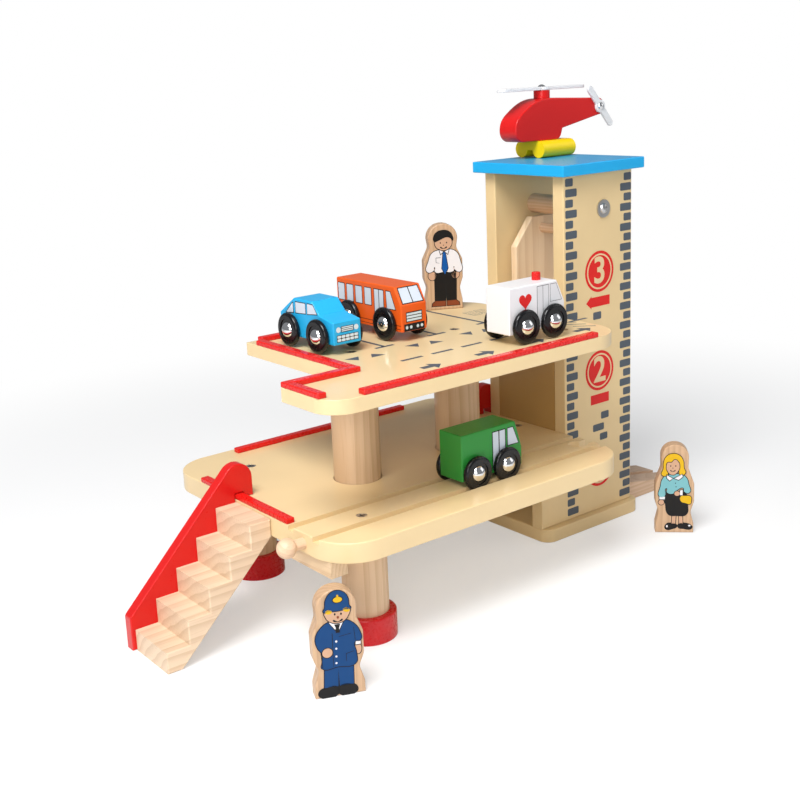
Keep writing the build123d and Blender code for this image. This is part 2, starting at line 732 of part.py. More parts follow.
# ---- vehicles -----------------------------------------------------------
def vehicle_body(outline, axles):
    """Solid wooden body with two axle bores; x = 0 at the rear, z = 0 at the wheels' foot."""
    body = profile_y(outline, -BODY_W / 2, BODY_W / 2)
    body = fillet(body.edges(), BODY_EDGE_R)
    for x in axles:
        body -= rod_y(AXLE_R + AXLE_FIT, x, WHEEL_R, -BODY_W / 2, BODY_W / 2)
    return body


def wheel_pair(x):
    """Two dished wheels with the axle's holes."""
    pair = []
    for side in (-1, 1):
        inner = side * (WHEEL_SPACING - WHEEL_W) / 2
        outer = side * (WHEEL_SPACING + WHEEL_W) / 2
        y0 = min(inner, outer)
        y1 = max(inner, outer)
        wheel = eased(rod_y(WHEEL_R, x, WHEEL_R, y0, y1), WHEEL_EDGE_R, Axis.Y)
        dish = outer - side * DISH_DEPTH
        wheel -= rod_y(DISH_R, x, WHEEL_R, min(outer, dish), max(outer, dish))
        wheel -= rod_y(AXLE_R, x, WHEEL_R, y0, y1)
        pair.append(wheel.solid())
    return Compound(pair)


def axle_pin(x):
    """Steel pin with a domed hub cap at each end."""
    reach = (WHEEL_SPACING + WHEEL_W) / 2 - DISH_DEPTH
    pin = rod_y(AXLE_R, x, WHEEL_R, -reach, reach)
    cap = dome(HUB_R, HUB_H)
    pin += Pos(x, -reach, WHEEL_R) * Rot(90, 0, 0) * cap
    pin += Pos(x, reach, WHEEL_R) * Rot(-90, 0, 0) * cap
    return pin


def vehicle(name, outline, rear_axle, front_axle, place):
    """All pieces of one vehicle, set in its place."""
    pieces = {
        "body": vehicle_body(outline, (rear_axle, front_axle)),
        "wheels_rear": wheel_pair(rear_axle),
        "wheels_front": wheel_pair(front_axle),
        "axle_rear": axle_pin(rear_axle),
        "axle_front": axle_pin(front_axle),
    }
    return {f"{name}_{piece}": place * shape for piece, shape in pieces.items()}


def box_outline(length, height, roof_front, screen_foot):
    """Box body with a leaning windscreen."""
    return [
        (0, UNDERSIDE),
        (length, UNDERSIDE),
        (length, screen_foot),
        (length - roof_front, height),
        (0, height),
    ]


def make_van():
    """Green van in the track grooves, nose towards the tower."""
    outline = box_outline(VAN_LENGTH, VAN_HEIGHT, VAN_ROOF_FRONT, VAN_SCREEN_FOOT)
    z = LOWER_TOP - GROOVE_DEPTH + ROLL_GAP
    place = Pos(DECK_SIDE_X - VAN_BACK, TRACK_Y, z)
    return vehicle("van", outline, VAN_REAR_AXLE, VAN_FRONT_AXLE, place)


def make_ambulance():
    """White ambulance on the upper deck with its beacon."""
    outline = box_outline(
        AMBULANCE_LENGTH, AMBULANCE_HEIGHT, AMBULANCE_ROOF_FRONT, AMBULANCE_SCREEN_FOOT
    )
    place = Pos(DECK_SIDE_X - AMBULANCE_BACK, FRONT_Y - AMBULANCE_OUT, UPPER_TOP + ROLL_GAP)
    pieces = vehicle("ambulance", outline, AMBULANCE_REAR_AXLE, AMBULANCE_FRONT_AXLE, place)
    beacon = rod_z(BEACON_R, BEACON_X, 0, AMBULANCE_HEIGHT, AMBULANCE_HEIGHT + BEACON_H)
    beacon = fillet(beacon.edges().sort_by(Axis.Z)[-1], BODY_EDGE_R)
    pieces["ambulance_beacon"] = place * beacon
    return pieces


def make_blue_car():
    """Blue car parked across the upper deck, nose towards the front curb."""
    outline = [
        (0, UNDERSIDE),
        (CAR_BODY_LENGTH, UNDERSIDE),
        (CAR_BODY_LENGTH, CAR_NOSE_H),
        (CAR_SCREEN_FOOT_X, CAR_SCREEN_FOOT_Z),
        (CAR_ROOF_FRONT, CAR_BODY_HEIGHT),
        (CAR_ROOF_REAR, CAR_BODY_HEIGHT),
        (0, CAR_TAIL_H),
    ]
    place = Pos(DECK_SIDE_X - CAR_BACK, FRONT_Y + CAR_TAIL_IN, UPPER_TOP + ROLL_GAP)
    return vehicle("car", outline, CAR_REAR_AXLE, CAR_FRONT_AXLE, place * Rot(0, 0, -90))


def make_bus():
    """Orange bus parked beside the blue car."""
    outline = box_outline(BUS_LENGTH, BUS_HEIGHT, BUS_ROOF_FRONT, BUS_SCREEN_FOOT)
    place = Pos(DECK_SIDE_X - BUS_BACK, FRONT_Y + BUS_TAIL_IN, UPPER_TOP + ROLL_GAP)
    return vehicle("bus", outline, BUS_REAR_AXLE, BUS_FRONT_AXLE, place * Rot(0, 0, -90))


# ---- helicopter ---------------------------------------------------------
def heli_fuselage():
    """Cabin with a rounded nose and a rising tail boom; z = 0 at the underside."""
    nose_r = HELI_NOSE_Z
    cabin = Spline(
        (0, 0, HELI_NOSE_Z),
        (HELI_BROW_X, 0, HELI_BROW_Z),
        (HELI_CABIN_X, 0, HELI_TOP),
        tangents=((0, 0, 1), (1, 0, 0)),
    )
    tail_top = (TAIL_X, 0, TAIL_Z + TAIL_R)
    tail_foot = (TAIL_X, 0, TAIL_Z - TAIL_R)
    outline = Wire(
        [
            cabin.edge(),
            Edge.make_line((HELI_CABIN_X, 0, HELI_TOP), (MAST_X + MAST_R, 0, HELI_TOP)),
            Edge.make_line((MAST_X + MAST_R, 0, HELI_TOP), tail_top),
            Edge.make_three_point_arc(tail_top, (TAIL_X + TAIL_R, 0, TAIL_Z), tail_foot),
            Edge.make_line(tail_foot, (HELI_BOOM_X, 0, HELI_BOOM_Z)),
            Edge.make_line((HELI_BOOM_X, 0, HELI_BOOM_Z), (HELI_BELLY_X, 0, 0)),
            Edge.make_line((HELI_BELLY_X, 0, 0), (nose_r, 0, 0)),
            Edge.make_three_point_arc((nose_r, 0, 0), (nose_r * 0.293, 0, nose_r * 0.293), (0, 0, nose_r)),
        ]
    )
    body = Pos(0, -HELI_W / 2, 0) * extrude(make_face(outline), HELI_W, dir=(0, 1, 0))
    corner = body.edges().filter_by(Axis.Y).sort_by_distance((HELI_BELLY_X, 0, 0))[0]
    body = eased(fillet(corner, HELI_BELLY_R), HELI_EDGE_R, Axis.Y)
    body -= rod_y(PIN_R, TAIL_X, TAIL_Z, -HELI_W / 2, PIN_DEPTH - HELI_W / 2)
    return body


def rotor_blade(length, width, thickness, hub_r):
    """Two-bladed rotor on Z = 0 with round tips, a round hub and the pin's hole."""
    reach = length / 2 - width / 2
    blade = block(-reach, reach, -width / 2, width / 2, 0, thickness)
    for x in (-reach, reach):
        blade += rod_z(width / 2, x, 0, 0, thickness)
    blade += rod_z(hub_r, 0, 0, 0, thickness)
    blade = eased(blade, thickness / 5, Axis.Z)
    return blade - rod_z(PIN_R + PIN_FIT, 0, 0, 0, thickness)


def rotor_pin(thickness):
    """Domed pin that holds a rotor; z = 0 at the rotor's outer face."""
    shank = rod_z(PIN_R, 0, 0, -thickness - 2 * ROTOR_GAP - PIN_DEPTH, 0)
    return shank + dome(PIN_HEAD_R, PIN_HEAD_H)


def make_helicopter():
    """Red helicopter with yellow skids on the roof."""
    skid_z = ROOF_TOP + ROLL_GAP + SKID_R
    belly_z = skid_z + SKID_R
    nose = Pos(DECK_SIDE_X + HELI_NOSE, FRONT_Y + HELI_IN, belly_z)
    tube = Rot(0, 90, 0) * Cylinder(SKID_R, SKID_L)
    middle = SKID_FROM + SKID_L / 2
    half = SKID_SPACING / 2
    skids = block(SKID_FROM, SKID_FROM + SKID_L, -half, half, -SKID_WEB_T, 0)
    for y in (-half, half):
        skids += Pos(middle, y, -SKID_R) * tube
    mast = rod_z(MAST_R, MAST_X, 0, HELI_TOP, HELI_TOP + MAST_H)
    mast -= rod_z(PIN_R, MAST_X, 0, HELI_TOP, HELI_TOP + MAST_H)
    main = rotor_blade(MAIN_BLADE_L, MAIN_BLADE_W, MAIN_BLADE_T, MAIN_HUB_R)
    main_at = Pos(MAST_X, 0, HELI_TOP + MAST_H + ROTOR_GAP)
    tail = rotor_blade(TAIL_BLADE_L, TAIL_BLADE_W, TAIL_BLADE_T, TAIL_HUB_R)
    tail_at = Pos(TAIL_X, -HELI_W / 2 - ROTOR_GAP, TAIL_Z) * Rot(90, 0, 0)
    lift_main = Pos(0, 0, MAIN_BLADE_T + ROTOR_GAP)
    lift_tail = Pos(0, 0, TAIL_BLADE_T + ROTOR_GAP)
    pins = [
        (nose * main_at * lift_main * rotor_pin(MAIN_BLADE_T)).solid(),
        (nose * tail_at * lift_tail * rotor_pin(TAIL_BLADE_T)).solid(),
    ]
    fuselage = heli_fuselage()
    fuselage -= rod_z(PIN_R, MAST_X, 0, HELI_TOP + MAST_H - PIN_DEPTH, HELI_TOP)
    return {
        "heli_fuselage": nose * fuselage,
        "heli_skids": nose * skids,
        "heli_mast": nose * mast,
        "heli_main_rotor": nose * main_at * main,
        "heli_tail_rotor": nose * tail_at * Rot(0, 0, -TAIL_TILT) * tail,
        "heli_rotor_pins": Compound(pins),
    }


# ---- figures ------------------------------------------------------------
def figure(height, head_w, neck_w, body_w, waist_w, foot_w):
    """Cut-out figure with a head arch, shoulders, waist and a flat foot."""
    head = head_w / 2
    right = [
        (foot_w / 2, 0, 0),
        (foot_w / 2, FOOT_H, FIGURE_BEND_R),
        (waist_w / 2, WAIST_Z, FIGURE_BEND_R),
        (body_w / 2, HIP_Z, FIGURE_BEND_R),
        (body_w / 2, SHOULDER_Z, FIGURE_BEND_R),
        (neck_w / 2, height - NECK_DOWN, FIGURE_BEND_R),
        (head, height - head, 0),
        (head, height, head - HEAD_FLAT),
    ]
    left = [(-x, z, radius) for x, z, radius in reversed(right)]
    body = Rot(90, 0, 0) * plate(right + left, -FIGURE_T, 0)
    return eased(body, FIGURE_EDGE_R, Axis.Y)


def make_figures():
    """Three figures; each place is the middle of its printed face at the foot."""
    office = Pos(DECK_SIDE_X - OFFICE_BACK, FRONT_Y + OFFICE_IN, UPPER_TOP)
    shopper = Pos(DECK_SIDE_X + SHOPPER_AHEAD, FRONT_Y - SHOPPER_OUT, 0)
    police = Pos(DECK_SIDE_X - POLICE_BACK, FRONT_Y - POLICE_OUT, 0)
    office *= Rot(0, 0, OFFICE_TURN)
    shopper *= Rot(0, 0, SHOPPER_TURN)
    police *= Rot(0, 0, POLICE_TURN)
    office_cut = (OFFICE_HEAD_W, OFFICE_NECK_W, OFFICE_BODY_W, OFFICE_WAIST_W, OFFICE_FOOT_W)
    shopper_cut = (SHOPPER_HEAD_W, SHOPPER_NECK_W, SHOPPER_BODY_W, SHOPPER_WAIST_W, SHOPPER_FOOT_W)
    police_cut = (POLICE_HEAD_W, POLICE_NECK_W, POLICE_BODY_W, POLICE_WAIST_W, POLICE_FOOT_W)
    return {
        "figure_office": office * figure(OFFICE_H, *office_cut),
        "figure_shopper": shopper * figure(SHOPPER_H, *shopper_cut),
        "figure_police": police * figure(POLICE_H, *police_cut),
    }


# ---- all pieces ---------------------------------------------------------
def main():
    """Builds every piece and writes one STEP file for each."""
    os.makedirs("parts", exist_ok=True)
    pieces = {
        "base_plate": make_base_plate(),
        "front_wall": make_front_wall(),
        "rear_wall": make_rear_wall(),
        "level_two_panel": make_level_two_panel(),
        "roof_board": make_roof(),
        "lower_deck": make_lower_deck(),
        "upper_deck": make_upper_deck(),
        "lower_curbs": make_lower_curbs(),
        "upper_curbs": make_upper_curbs(),
        "deck_battens": make_battens(),
        "track_peg": make_track_peg(),
        "deck_screws": make_deck_screws(),
        "ramp": make_ramp(),
    }
    pieces.update(make_car())
    pieces.update(make_winch())
    pieces.update(make_legs_and_pillars())
    pieces.update(make_stairs())
    pieces.update(make_van())
    pieces.update(make_ambulance())
    pieces.update(make_blue_car())
    pieces.update(make_bus())
    pieces.update(make_helicopter())
    pieces.update(make_figures())
    for name, shape in pieces.items():
        export_step(shape, f"parts/{name}.step")


main()
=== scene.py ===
import math

import bpy
from mathutils import Matrix, Vector


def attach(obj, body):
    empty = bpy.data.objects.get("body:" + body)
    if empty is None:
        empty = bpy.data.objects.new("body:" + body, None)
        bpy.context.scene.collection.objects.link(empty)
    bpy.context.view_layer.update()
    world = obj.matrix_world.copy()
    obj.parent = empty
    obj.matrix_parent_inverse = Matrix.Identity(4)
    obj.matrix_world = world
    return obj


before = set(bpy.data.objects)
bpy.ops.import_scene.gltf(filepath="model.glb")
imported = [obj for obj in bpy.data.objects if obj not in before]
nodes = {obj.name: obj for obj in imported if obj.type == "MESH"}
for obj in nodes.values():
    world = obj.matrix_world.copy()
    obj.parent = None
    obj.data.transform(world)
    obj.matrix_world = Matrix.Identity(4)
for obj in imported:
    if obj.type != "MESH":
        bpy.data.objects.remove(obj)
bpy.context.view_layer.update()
bpy.ops.object.select_all(action="DESELECT")
bpy.context.scene.view_settings.view_transform = "Standard"

# ---- Studio -----------------------------------------------------------------
# A white sweep of paper under broad soft lamps, with the camera low in front
# of the brick face's deck end, where a product photographer would stand.
camera_place = Vector((-0.63332, -0.61055, 0.34113))
looks = Vector((0.5818, 0.7798, -0.2314)).normalized()
rightwards = looks.cross(Vector((0.1766, 0.1566, 0.9717))).normalized()
upwards = rightwards.cross(looks)
bpy.ops.object.camera_add()
camera = bpy.context.object
turn = Matrix((rightwards, upwards, -looks)).transposed().to_4x4()
camera.matrix_world = Matrix.Translation(camera_place) @ turn
camera.data.lens = 52.318
camera.data.sensor_width = 36.0
camera.data.shift_x = 0.0329
camera.data.shift_y = -0.0608
camera.data.clip_start = 0.02
bpy.context.scene.camera = camera


def white_behind(node_tree, lit, white):
    """Mixes in white for the lens alone; returns the mix and the value that scales the white."""
    rays = node_tree.nodes.new("ShaderNodeLightPath")
    amount = node_tree.nodes.new("ShaderNodeMath")
    amount.operation = "MULTIPLY"
    amount.inputs[1].default_value = 1.0
    mix = node_tree.nodes.new("ShaderNodeMixShader")
    node_tree.links.new(rays.outputs["Is Camera Ray"], amount.inputs[0])
    node_tree.links.new(amount.outputs[0], mix.inputs[0])
    node_tree.links.new(lit, mix.inputs[1])
    node_tree.links.new(white, mix.inputs[2])
    return mix, amount.inputs[1]


PAPER_SIDE = 6.0
PAPER_MIDDLE = (0.6, 0.8, -0.0002)  # mostly behind the toy, a hair under its feet
OBJECT_MIDDLE_X = -0.1
WHITEN_FROM, WHITEN_TO = 0.32, 0.75  # distance from the toy's middle, in metres
WHITE_NEAR, WHITE_FAR = 0.40, 1.0    # share of plain white there, so the shadow stays
bpy.ops.mesh.primitive_plane_add(size=PAPER_SIDE, location=PAPER_MIDDLE)
floor = bpy.context.object
floor.name = "paper_floor"
paper = bpy.data.materials.new("white paper")
paper.use_nodes = True
tree = paper.node_tree
tree.nodes.clear()
matt = tree.nodes.new("ShaderNodeBsdfDiffuse")
matt.inputs["Color"].default_value = (0.93, 0.93, 0.93, 1)
glow = tree.nodes.new("ShaderNodeEmission")
glow.inputs["Color"].default_value = (1, 1, 1, 1)
sheet, white_share = white_behind(tree, matt.outputs[0], glow.outputs[0])
place = tree.nodes.new("ShaderNodeTexCoord")
away = tree.nodes.new("ShaderNodeVectorMath")
away.operation = "DISTANCE"
away.inputs[1].default_value = (OBJECT_MIDDLE_X - PAPER_MIDDLE[0], -PAPER_MIDDLE[1], 0.0)
whiten = tree.nodes.new("ShaderNodeMapRange")
whiten.interpolation_type = "SMOOTHSTEP"
for number, value in enumerate((WHITEN_FROM, WHITEN_TO, WHITE_NEAR, WHITE_FAR)):
    whiten.inputs[1 + number].default_value = value
tree.links.new(place.outputs["Object"], away.inputs[0])
tree.links.new(away.outputs["Value"], whiten.inputs[0])
tree.links.new(whiten.outputs[0], white_share)
surface = tree.nodes.new("ShaderNodeOutputMaterial")
tree.links.new(sheet.outputs[0], surface.inputs["Surface"])
floor.data.materials.append(paper)

AIR_STRENGTH = 0.27  # low, so that shaded boards stay warm and dark
world = bpy.data.worlds.new("studio air")
bpy.context.scene.world = world
world.use_nodes = True
tree = world.node_tree
tree.nodes.clear()
air = tree.nodes.new("ShaderNodeBackground")
air.inputs["Color"].default_value = (0.93, 0.96, 1.0, 1)
air.inputs["Strength"].default_value = AIR_STRENGTH
backdrop = tree.nodes.new("ShaderNodeBackground")
backdrop.inputs["Color"].default_value = (1, 1, 1, 1)
sheet, white_share = white_behind(tree, air.outputs[0], backdrop.outputs[0])
sky = tree.nodes.new("ShaderNodeOutputWorld")
tree.links.new(sheet.outputs[0], sky.inputs["Surface"])

for lamp, place, size, watts in (
    ("broad lamp over the decks", (-0.75, -0.35, 1.15), 0.6, 18.0),
    ("side lamp by the stairs", (-1.1, -1.0, 0.55), 0.6, 5.8),
    ("fill from the ramp side", (1.2, -0.9, 0.9), 1.1, 3.8),
):
    bpy.ops.object.light_add(type="AREA", location=place)
    lamp_object = bpy.context.object
    lamp_object.name = lamp
    lamp_object.data.size = size
    lamp_object.data.energy = watts
    aim = Vector((-0.09, 0.0, 0.12)) - Vector(place)
    lamp_object.rotation_mode = "QUATERNION"
    lamp_object.rotation_quaternion = aim.to_track_quat("-Z", "Y")
bpy.ops.object.select_all(action="DESELECT")


# ---- Tower boards -----------------------------------------------------------
# The tower is glued up from fibreboard with a cream-tan lacquer: two tall
# walls on a thick foot board, and a panel that closes the shaft between decks.
# The lacquer film hides the grain, and its fine orange peel softens the gloss.
def add_group(name, inputs, outputs):
    """Empty node group with typed sockets; returns it with its two end nodes."""
    group = bpy.data.node_groups.new(name, "ShaderNodeTree")
    kinds = {"v": "NodeSocketVector", "c": "NodeSocketColor", "f": "NodeSocketFloat"}
    for label, kind, value in inputs:
        socket = group.interface.new_socket(name=label, in_out="INPUT", socket_type=kinds[kind])
        if value is not None:
            socket.default_value = value
    for label, kind in outputs:
        group.interface.new_socket(name=label, in_out="OUTPUT", socket_type=kinds[kind])
    return group, group.nodes.new("NodeGroupInput"), group.nodes.new("NodeGroupOutput")


def add_node(where, kind, settings=(), **values):
    """New node with its properties and unlinked input values set."""
    node = where.nodes.new(kind)
    for label, value in dict(settings).items():
        setattr(node, label, value)
    for label, value in values.items():
        key = int(label[1:]) if label[1:].isdigit() else label.replace("_", " ")
        node.inputs[key].default_value = value
    return node


def curve_of(where, source, low, high):
    """Stretches a value between two limits to 0..1."""
    node = add_node(where, "ShaderNodeMapRange", {"interpolation_type": "SMOOTHSTEP"}, i1=low, i2=high)
    where.links.new(source, node.inputs[0])
    return node.outputs[0]


def blend_of(where, amount, first, second, mode="MIX"):
    """Mixes two colours; a tuple is a fixed colour and a socket is linked."""
    node = add_node(where, "ShaderNodeMix", {"data_type": "RGBA", "blend_type": mode})
    for key, value in ((0, amount), (6, first), (7, second)):
        if isinstance(value, (int, float, tuple)):
            node.inputs[key].default_value = value
        else:
            where.links.new(value, node.inputs[key])
    return node.outputs[2]


lacquer_film, entry, leave = add_group(
    "lacquer film",
    [("Vector", "v", None), ("Colour", "c", (0.8, 0.8, 0.8, 1)), ("Mottle", "f", 0.06),
        ("Gloss", "f", 0.3), ("Peel", "f", 1.0)],
    [("Color", "c"), ("Roughness", "f"), ("Height", "f")],
)
cloud = add_node(lacquer_film, "ShaderNodeTexNoise", Scale=26.0, Detail=3.0)
peel = add_node(lacquer_film, "ShaderNodeTexNoise", Scale=520.0, Detail=2.0)
fibre = add_node(lacquer_film, "ShaderNodeTexNoise", Scale=1400.0, Detail=1.0)
for texture in (cloud, peel, fibre):
    lacquer_film.links.new(entry.outputs["Vector"], texture.inputs["Vector"])
patches = curve_of(lacquer_film, cloud.outputs[0], 0.3, 0.7)
share = add_node(lacquer_film, "ShaderNodeMath", {"operation": "MULTIPLY"})
lacquer_film.links.new(patches, share.inputs[0])
lacquer_film.links.new(entry.outputs["Mottle"], share.inputs[1])
darker = blend_of(lacquer_film, 1.0, entry.outputs["Colour"], (0.62, 0.55, 0.5, 1), "MULTIPLY")
tone = blend_of(lacquer_film, share.outputs[0], entry.outputs["Colour"], darker)
lacquer_film.links.new(tone, leave.inputs["Color"])
sheen = add_node(lacquer_film, "ShaderNodeMath", {"operation": "MULTIPLY_ADD"}, i1=0.12)
lacquer_film.links.new(peel.outputs[0], sheen.inputs[0])
lacquer_film.links.new(entry.outputs["Gloss"], sheen.inputs[2])
lacquer_film.links.new(sheen.outputs[0], leave.inputs["Roughness"])
skin = add_node(lacquer_film, "ShaderNodeMath", {"operation": "MULTIPLY_ADD"}, i1=0.25)
lacquer_film.links.new(fibre.outputs[0], skin.inputs[0])
lacquer_film.links.new(peel.outputs[0], skin.inputs[2])
lift = add_node(lacquer_film, "ShaderNodeMath", {"operation": "MULTIPLY"})
lacquer_film.links.new(skin.outputs[0], lift.inputs[0])
lacquer_film.links.new(entry.outputs["Peel"], lift.inputs[1])
lacquer_film.links.new(lift.outputs[0], leave.inputs["Height"])


def finish_with(name, group, values, coat=0.0, bump=0.00004, turn=(0, 0, 0), shift=(0, 0, 0),
        metal=0.0):
    """Material on object coordinates, with its colour, gloss and relief from one of the groups."""
    material = bpy.data.materials.new(name)
    material.use_nodes = True
    where = material.node_tree
    shader = where.nodes["Principled BSDF"]
    shader.inputs["Coat Weight"].default_value = coat
    shader.inputs["Coat Roughness"].default_value = 0.12
    shader.inputs["Specular IOR Level"].default_value = 0.28
    shader.inputs["Metallic"].default_value = metal
    place = add_node(where, "ShaderNodeTexCoord")
    mapping = add_node(where, "ShaderNodeMapping", Rotation=turn, Location=shift)
    where.links.new(place.outputs["Object"], mapping.inputs["Vector"])
    effect = where.nodes.new("ShaderNodeGroup")
    effect.node_tree = group
    for label, value in values.items():
        effect.inputs[label].default_value = value
    where.links.new(mapping.outputs[0], effect.inputs["Vector"])
    where.links.new(effect.outputs["Color"], shader.inputs["Base Color"])
    where.links.new(effect.outputs["Roughness"], shader.inputs["Roughness"])
    relief = add_node(where, "ShaderNodeBump", Strength=0.22, Distance=bump)
    where.links.new(effect.outputs["Height"], relief.inputs["Height"])
    where.links.new(relief.outputs[0], shader.inputs["Normal"])
    return material


def lacquer(name, colour, mottle=0.06, gloss=0.30, coat=0.12, peel=0.08):
    """Opaque lacquer on wood or board."""
    values = {"Colour": (*colour, 1), "Mottle": mottle, "Gloss": gloss, "Peel": peel}
    return finish_with(name, lacquer_film, values, coat=coat)


def dress(material, *names):
    """Gives CAD nodes one material all over."""
    for name in names:
        nodes[name].data.materials.clear()
        nodes[name].data.materials.append(material)


cream_lacquer = lacquer("cream-tan lacquer on fibreboard", (0.745, 0.560, 0.300), mottle=0.1)
dress(cream_lacquer, "base_plate", "front_wall", "rear_wall")
# The shaft panel gets a darker tan than the walls as painted shade for the dim space between the decks;
# the real board likely has the walls' own cream-tan lacquer.
panel_painted_shade = lacquer("panel tan darkened as painted shade", (0.450, 0.270, 0.090), mottle=0.1)
dress(panel_painted_shade, "level_two_panel")

# ---- Brick face print -------------------------------------------------------
# Screen-printed on the outer face of the front wall: a column of slate-grey
# bricks up each edge, a few loose ones, and a round red badge with the number
# of each level, over a plain arrow or plate. The ink lies as a thin film.
FILM = 0.04  # thickness of one pull of ink, in mm


def ink_patch(ink, layer, points=None, radius=None, at=(0, 0), grow=0.0, smooth=False, letter=None,
        size=1.0):
    """One closed patch of ink in millimetres: an outline, a disc or a numeral, on its layer."""
    height = 0.02 + FILM * (layer + 0.5)
    if letter is not None:
        bpy.ops.object.text_add(location=(at[0], at[1], height))
        patch = bpy.context.object
        patch.data.body = letter
        patch.data.size = size
        patch.data.align_x = "CENTER"
        patch.data.align_y = "CENTER"
        patch.data.resolution_u = 5
    else:
        bpy.ops.curve.primitive_bezier_circle_add(radius=radius or 1.0, location=(at[0], at[1], height))
        patch = bpy.context.object
        patch.data.dimensions = "2D"
        patch.data.resolution_u = 10 if radius else 5
        spline = patch.data.splines[0]
        if points is not None:
            if len(points) > 4:
                spline.bezier_points.add(len(points) - 4)
            if len(points) < 4:
                points = [*points, points[-1]]
            for knot, (x, y) in zip(spline.bezier_points, points):
                knot.handle_left_type = knot.handle_right_type = "AUTO" if smooth else "VECTOR"
                knot.co = (x, y, 0)
    patch.data.fill_mode = "BOTH"
    patch.data.extrude = FILM / 2
    patch.data.offset = grow
    bpy.ops.object.convert(target="MESH")
    patch = bpy.context.object
    bpy.ops.object.transform_apply(location=True, rotation=False, scale=False)
    patch.data.materials.clear()
    patch.data.materials.append(ink)
    return patch


def printed(name, patches, body, corner, along, up):
    """Joins patches into one print and lays it on a face seen with these two directions."""
    bpy.ops.object.select_all(action="DESELECT")
    for patch in patches:
        patch.select_set(True)
    bpy.context.view_layer.objects.active = patches[0]
    if len(patches) > 1:
        bpy.ops.object.join()
    piece = bpy.context.object
    piece.name = name
    bpy.ops.object.mode_set(mode="EDIT")
    bpy.ops.mesh.select_all(action="SELECT")
    bpy.ops.mesh.remove_doubles(threshold=0.0005)
    bpy.ops.object.mode_set(mode="OBJECT")
    along, up = Vector(along).normalized(), Vector(up).normalized()
    axes = Matrix((along, up, along.cross(up))).transposed().to_4x4()
    piece.data.transform(Matrix.Translation(Vector(corner) / 1000) @ axes @ Matrix.Scale(0.001, 4))
    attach(piece, body)
    bpy.ops.object.select_all(action="DESELECT")
    return piece


def rectangle(x0, x1, y0, y1, corner=0.0):
    """Corners of an upright rectangle, each cut round by a short arc."""
    if corner == 0:
        return [(x0, y0), (x1, y0), (x1, y1), (x0, y1)]
    ring = []
    for x, y, start in ((x1, y0, 270), (x1, y1, 0), (x0, y1, 90), (x0, y0, 180)):
        middle_x = x - corner if x == x1 else x + corner
        middle_y = y - corner if y == y1 else y + corner
        for step in range(4):
            angle = math.radians(start + 30 * step)
            ring.append((middle_x + corner * math.cos(angle), middle_y + corner * math.sin(angle)))
    return ring


def ink(name, colour, gloss=0.42):
    """Screen-printing ink, a little uneven where the film is thin."""
    return lacquer(name, colour, mottle=0.12, gloss=gloss, coat=0.0, peel=0.5)


slate_ink = ink("slate-grey ink", (0.080, 0.098, 0.122))
red_ink = ink("red ink", (0.680, 0.012, 0.010))
bare_ink = ink("bare board in the badge", (0.745, 0.560, 0.320))
BRICK_FACE = (0, -40, 0)  # middle of the front wall's outer face, at the floor, in mm
bricks = []
for count in range(34):
    row = 261.2 - 7.43 * count
    left_end = -26.3 if count % 2 == 0 else -22.4
    bricks.append(ink_patch(slate_ink, 0, rectangle(-34.1, left_end, row - 2.8, row + 2.8, 1.0)))
    row = 260.4 - 7.39 * count
    right_end = 27.1 if count % 2 == 0 else 23.3
    bricks.append(ink_patch(slate_ink, 0, rectangle(right_end, 35.2, row - 2.8, row + 2.8, 1.0)))
for x0, x1, z0, z1 in (
    (-5.8, 2.8, 158.6, 164.2),
    (2.5, 11.0, 81.3, 86.8),
    (-6.3, 5.7, 72.7, 78.2),
    (1.2, 9.5, 64.8, 70.2),
):
    bricks.append(ink_patch(slate_ink, 0, rectangle(x0, x1, z0, z1, 1.0)))
printed("brick_print", bricks, "garage", BRICK_FACE, (1, 0, 0), (0, 0, 1))

badges = []
for number, level in (("3", 194.0), ("2", 119.4), ("1", 44.0)):
    middle = (1.0, level)
    badges.append(ink_patch(red_ink, 0, radius=15.2, at=middle))
    badges.append(ink_patch(bare_ink, 1, radius=13.1, at=middle))
    badges.append(ink_patch(red_ink, 2, radius=11.9, at=middle))
    badges.append(ink_patch(bare_ink, 3, letter=number, size=27.0, at=middle, grow=0.55))
arrow = [(-13.2, 171.8), (-7.6, 167.0), (-7.6, 168.2), (12.0, 168.2), (12.0, 175.4), (-7.6, 175.4),
    (-7.6, 176.6)]
badges.append(ink_patch(red_ink, 0, arrow))
badges.append(ink_patch(red_ink, 0, rectangle(-8.6, 11.2, 94.0, 101.4, 0.4)))
printed("level_badges", badges, "garage", BRICK_FACE, (1, 0, 0), (0, 0, 1))

# ---- Roof board -------------------------------------------------------------
# The landing roof is one board with an even overhang, sprayed sky blue on all
# sides, glossier than the tower.
sky_lacquer = lacquer("sky-blue lacquer", (0.012, 0.375, 0.740), gloss=0.24, coat=0.2)
dress(sky_lacquer, "roof_board")

# ---- Lift -------------------------------------------------------------------
# The car is bare pine ply with a floor board and a carrying dowel, and hangs
# under a turned beech drum that runs through the rear wall to a red crank
# wheel with a beech handle. A zinc screw and washer hold the drum in front.
grain, entry, leave = add_group(
    "clear wood grain",
    [("Vector", "v", None), ("Early", "c", (0.8, 0.6, 0.4, 1)), ("Late", "c", (0.5, 0.3, 0.15, 1)),
        ("Rings", "f", 150.0), ("Figure", "f", 0.5), ("Pores", "f", 0.3), ("Gloss", "f", 0.4)],
    [("Color", "c"), ("Roughness", "f"), ("Height", "f")],
)
stretch = add_node(grain, "ShaderNodeMapping", Scale=(0.09, 1.0, 1.0))
grain.links.new(entry.outputs["Vector"], stretch.inputs["Vector"])
waver = add_node(grain, "ShaderNodeTexNoise", Scale=34.0, Detail=2.0)
grain.links.new(stretch.outputs[0], waver.inputs["Vector"])
bend = add_node(grain, "ShaderNodeVectorMath", {"operation": "MULTIPLY_ADD"}, i1=(0.010, 0.010, 0.010))
grain.links.new(waver.outputs[1], bend.inputs[0])
grain.links.new(stretch.outputs[0], bend.inputs[2])
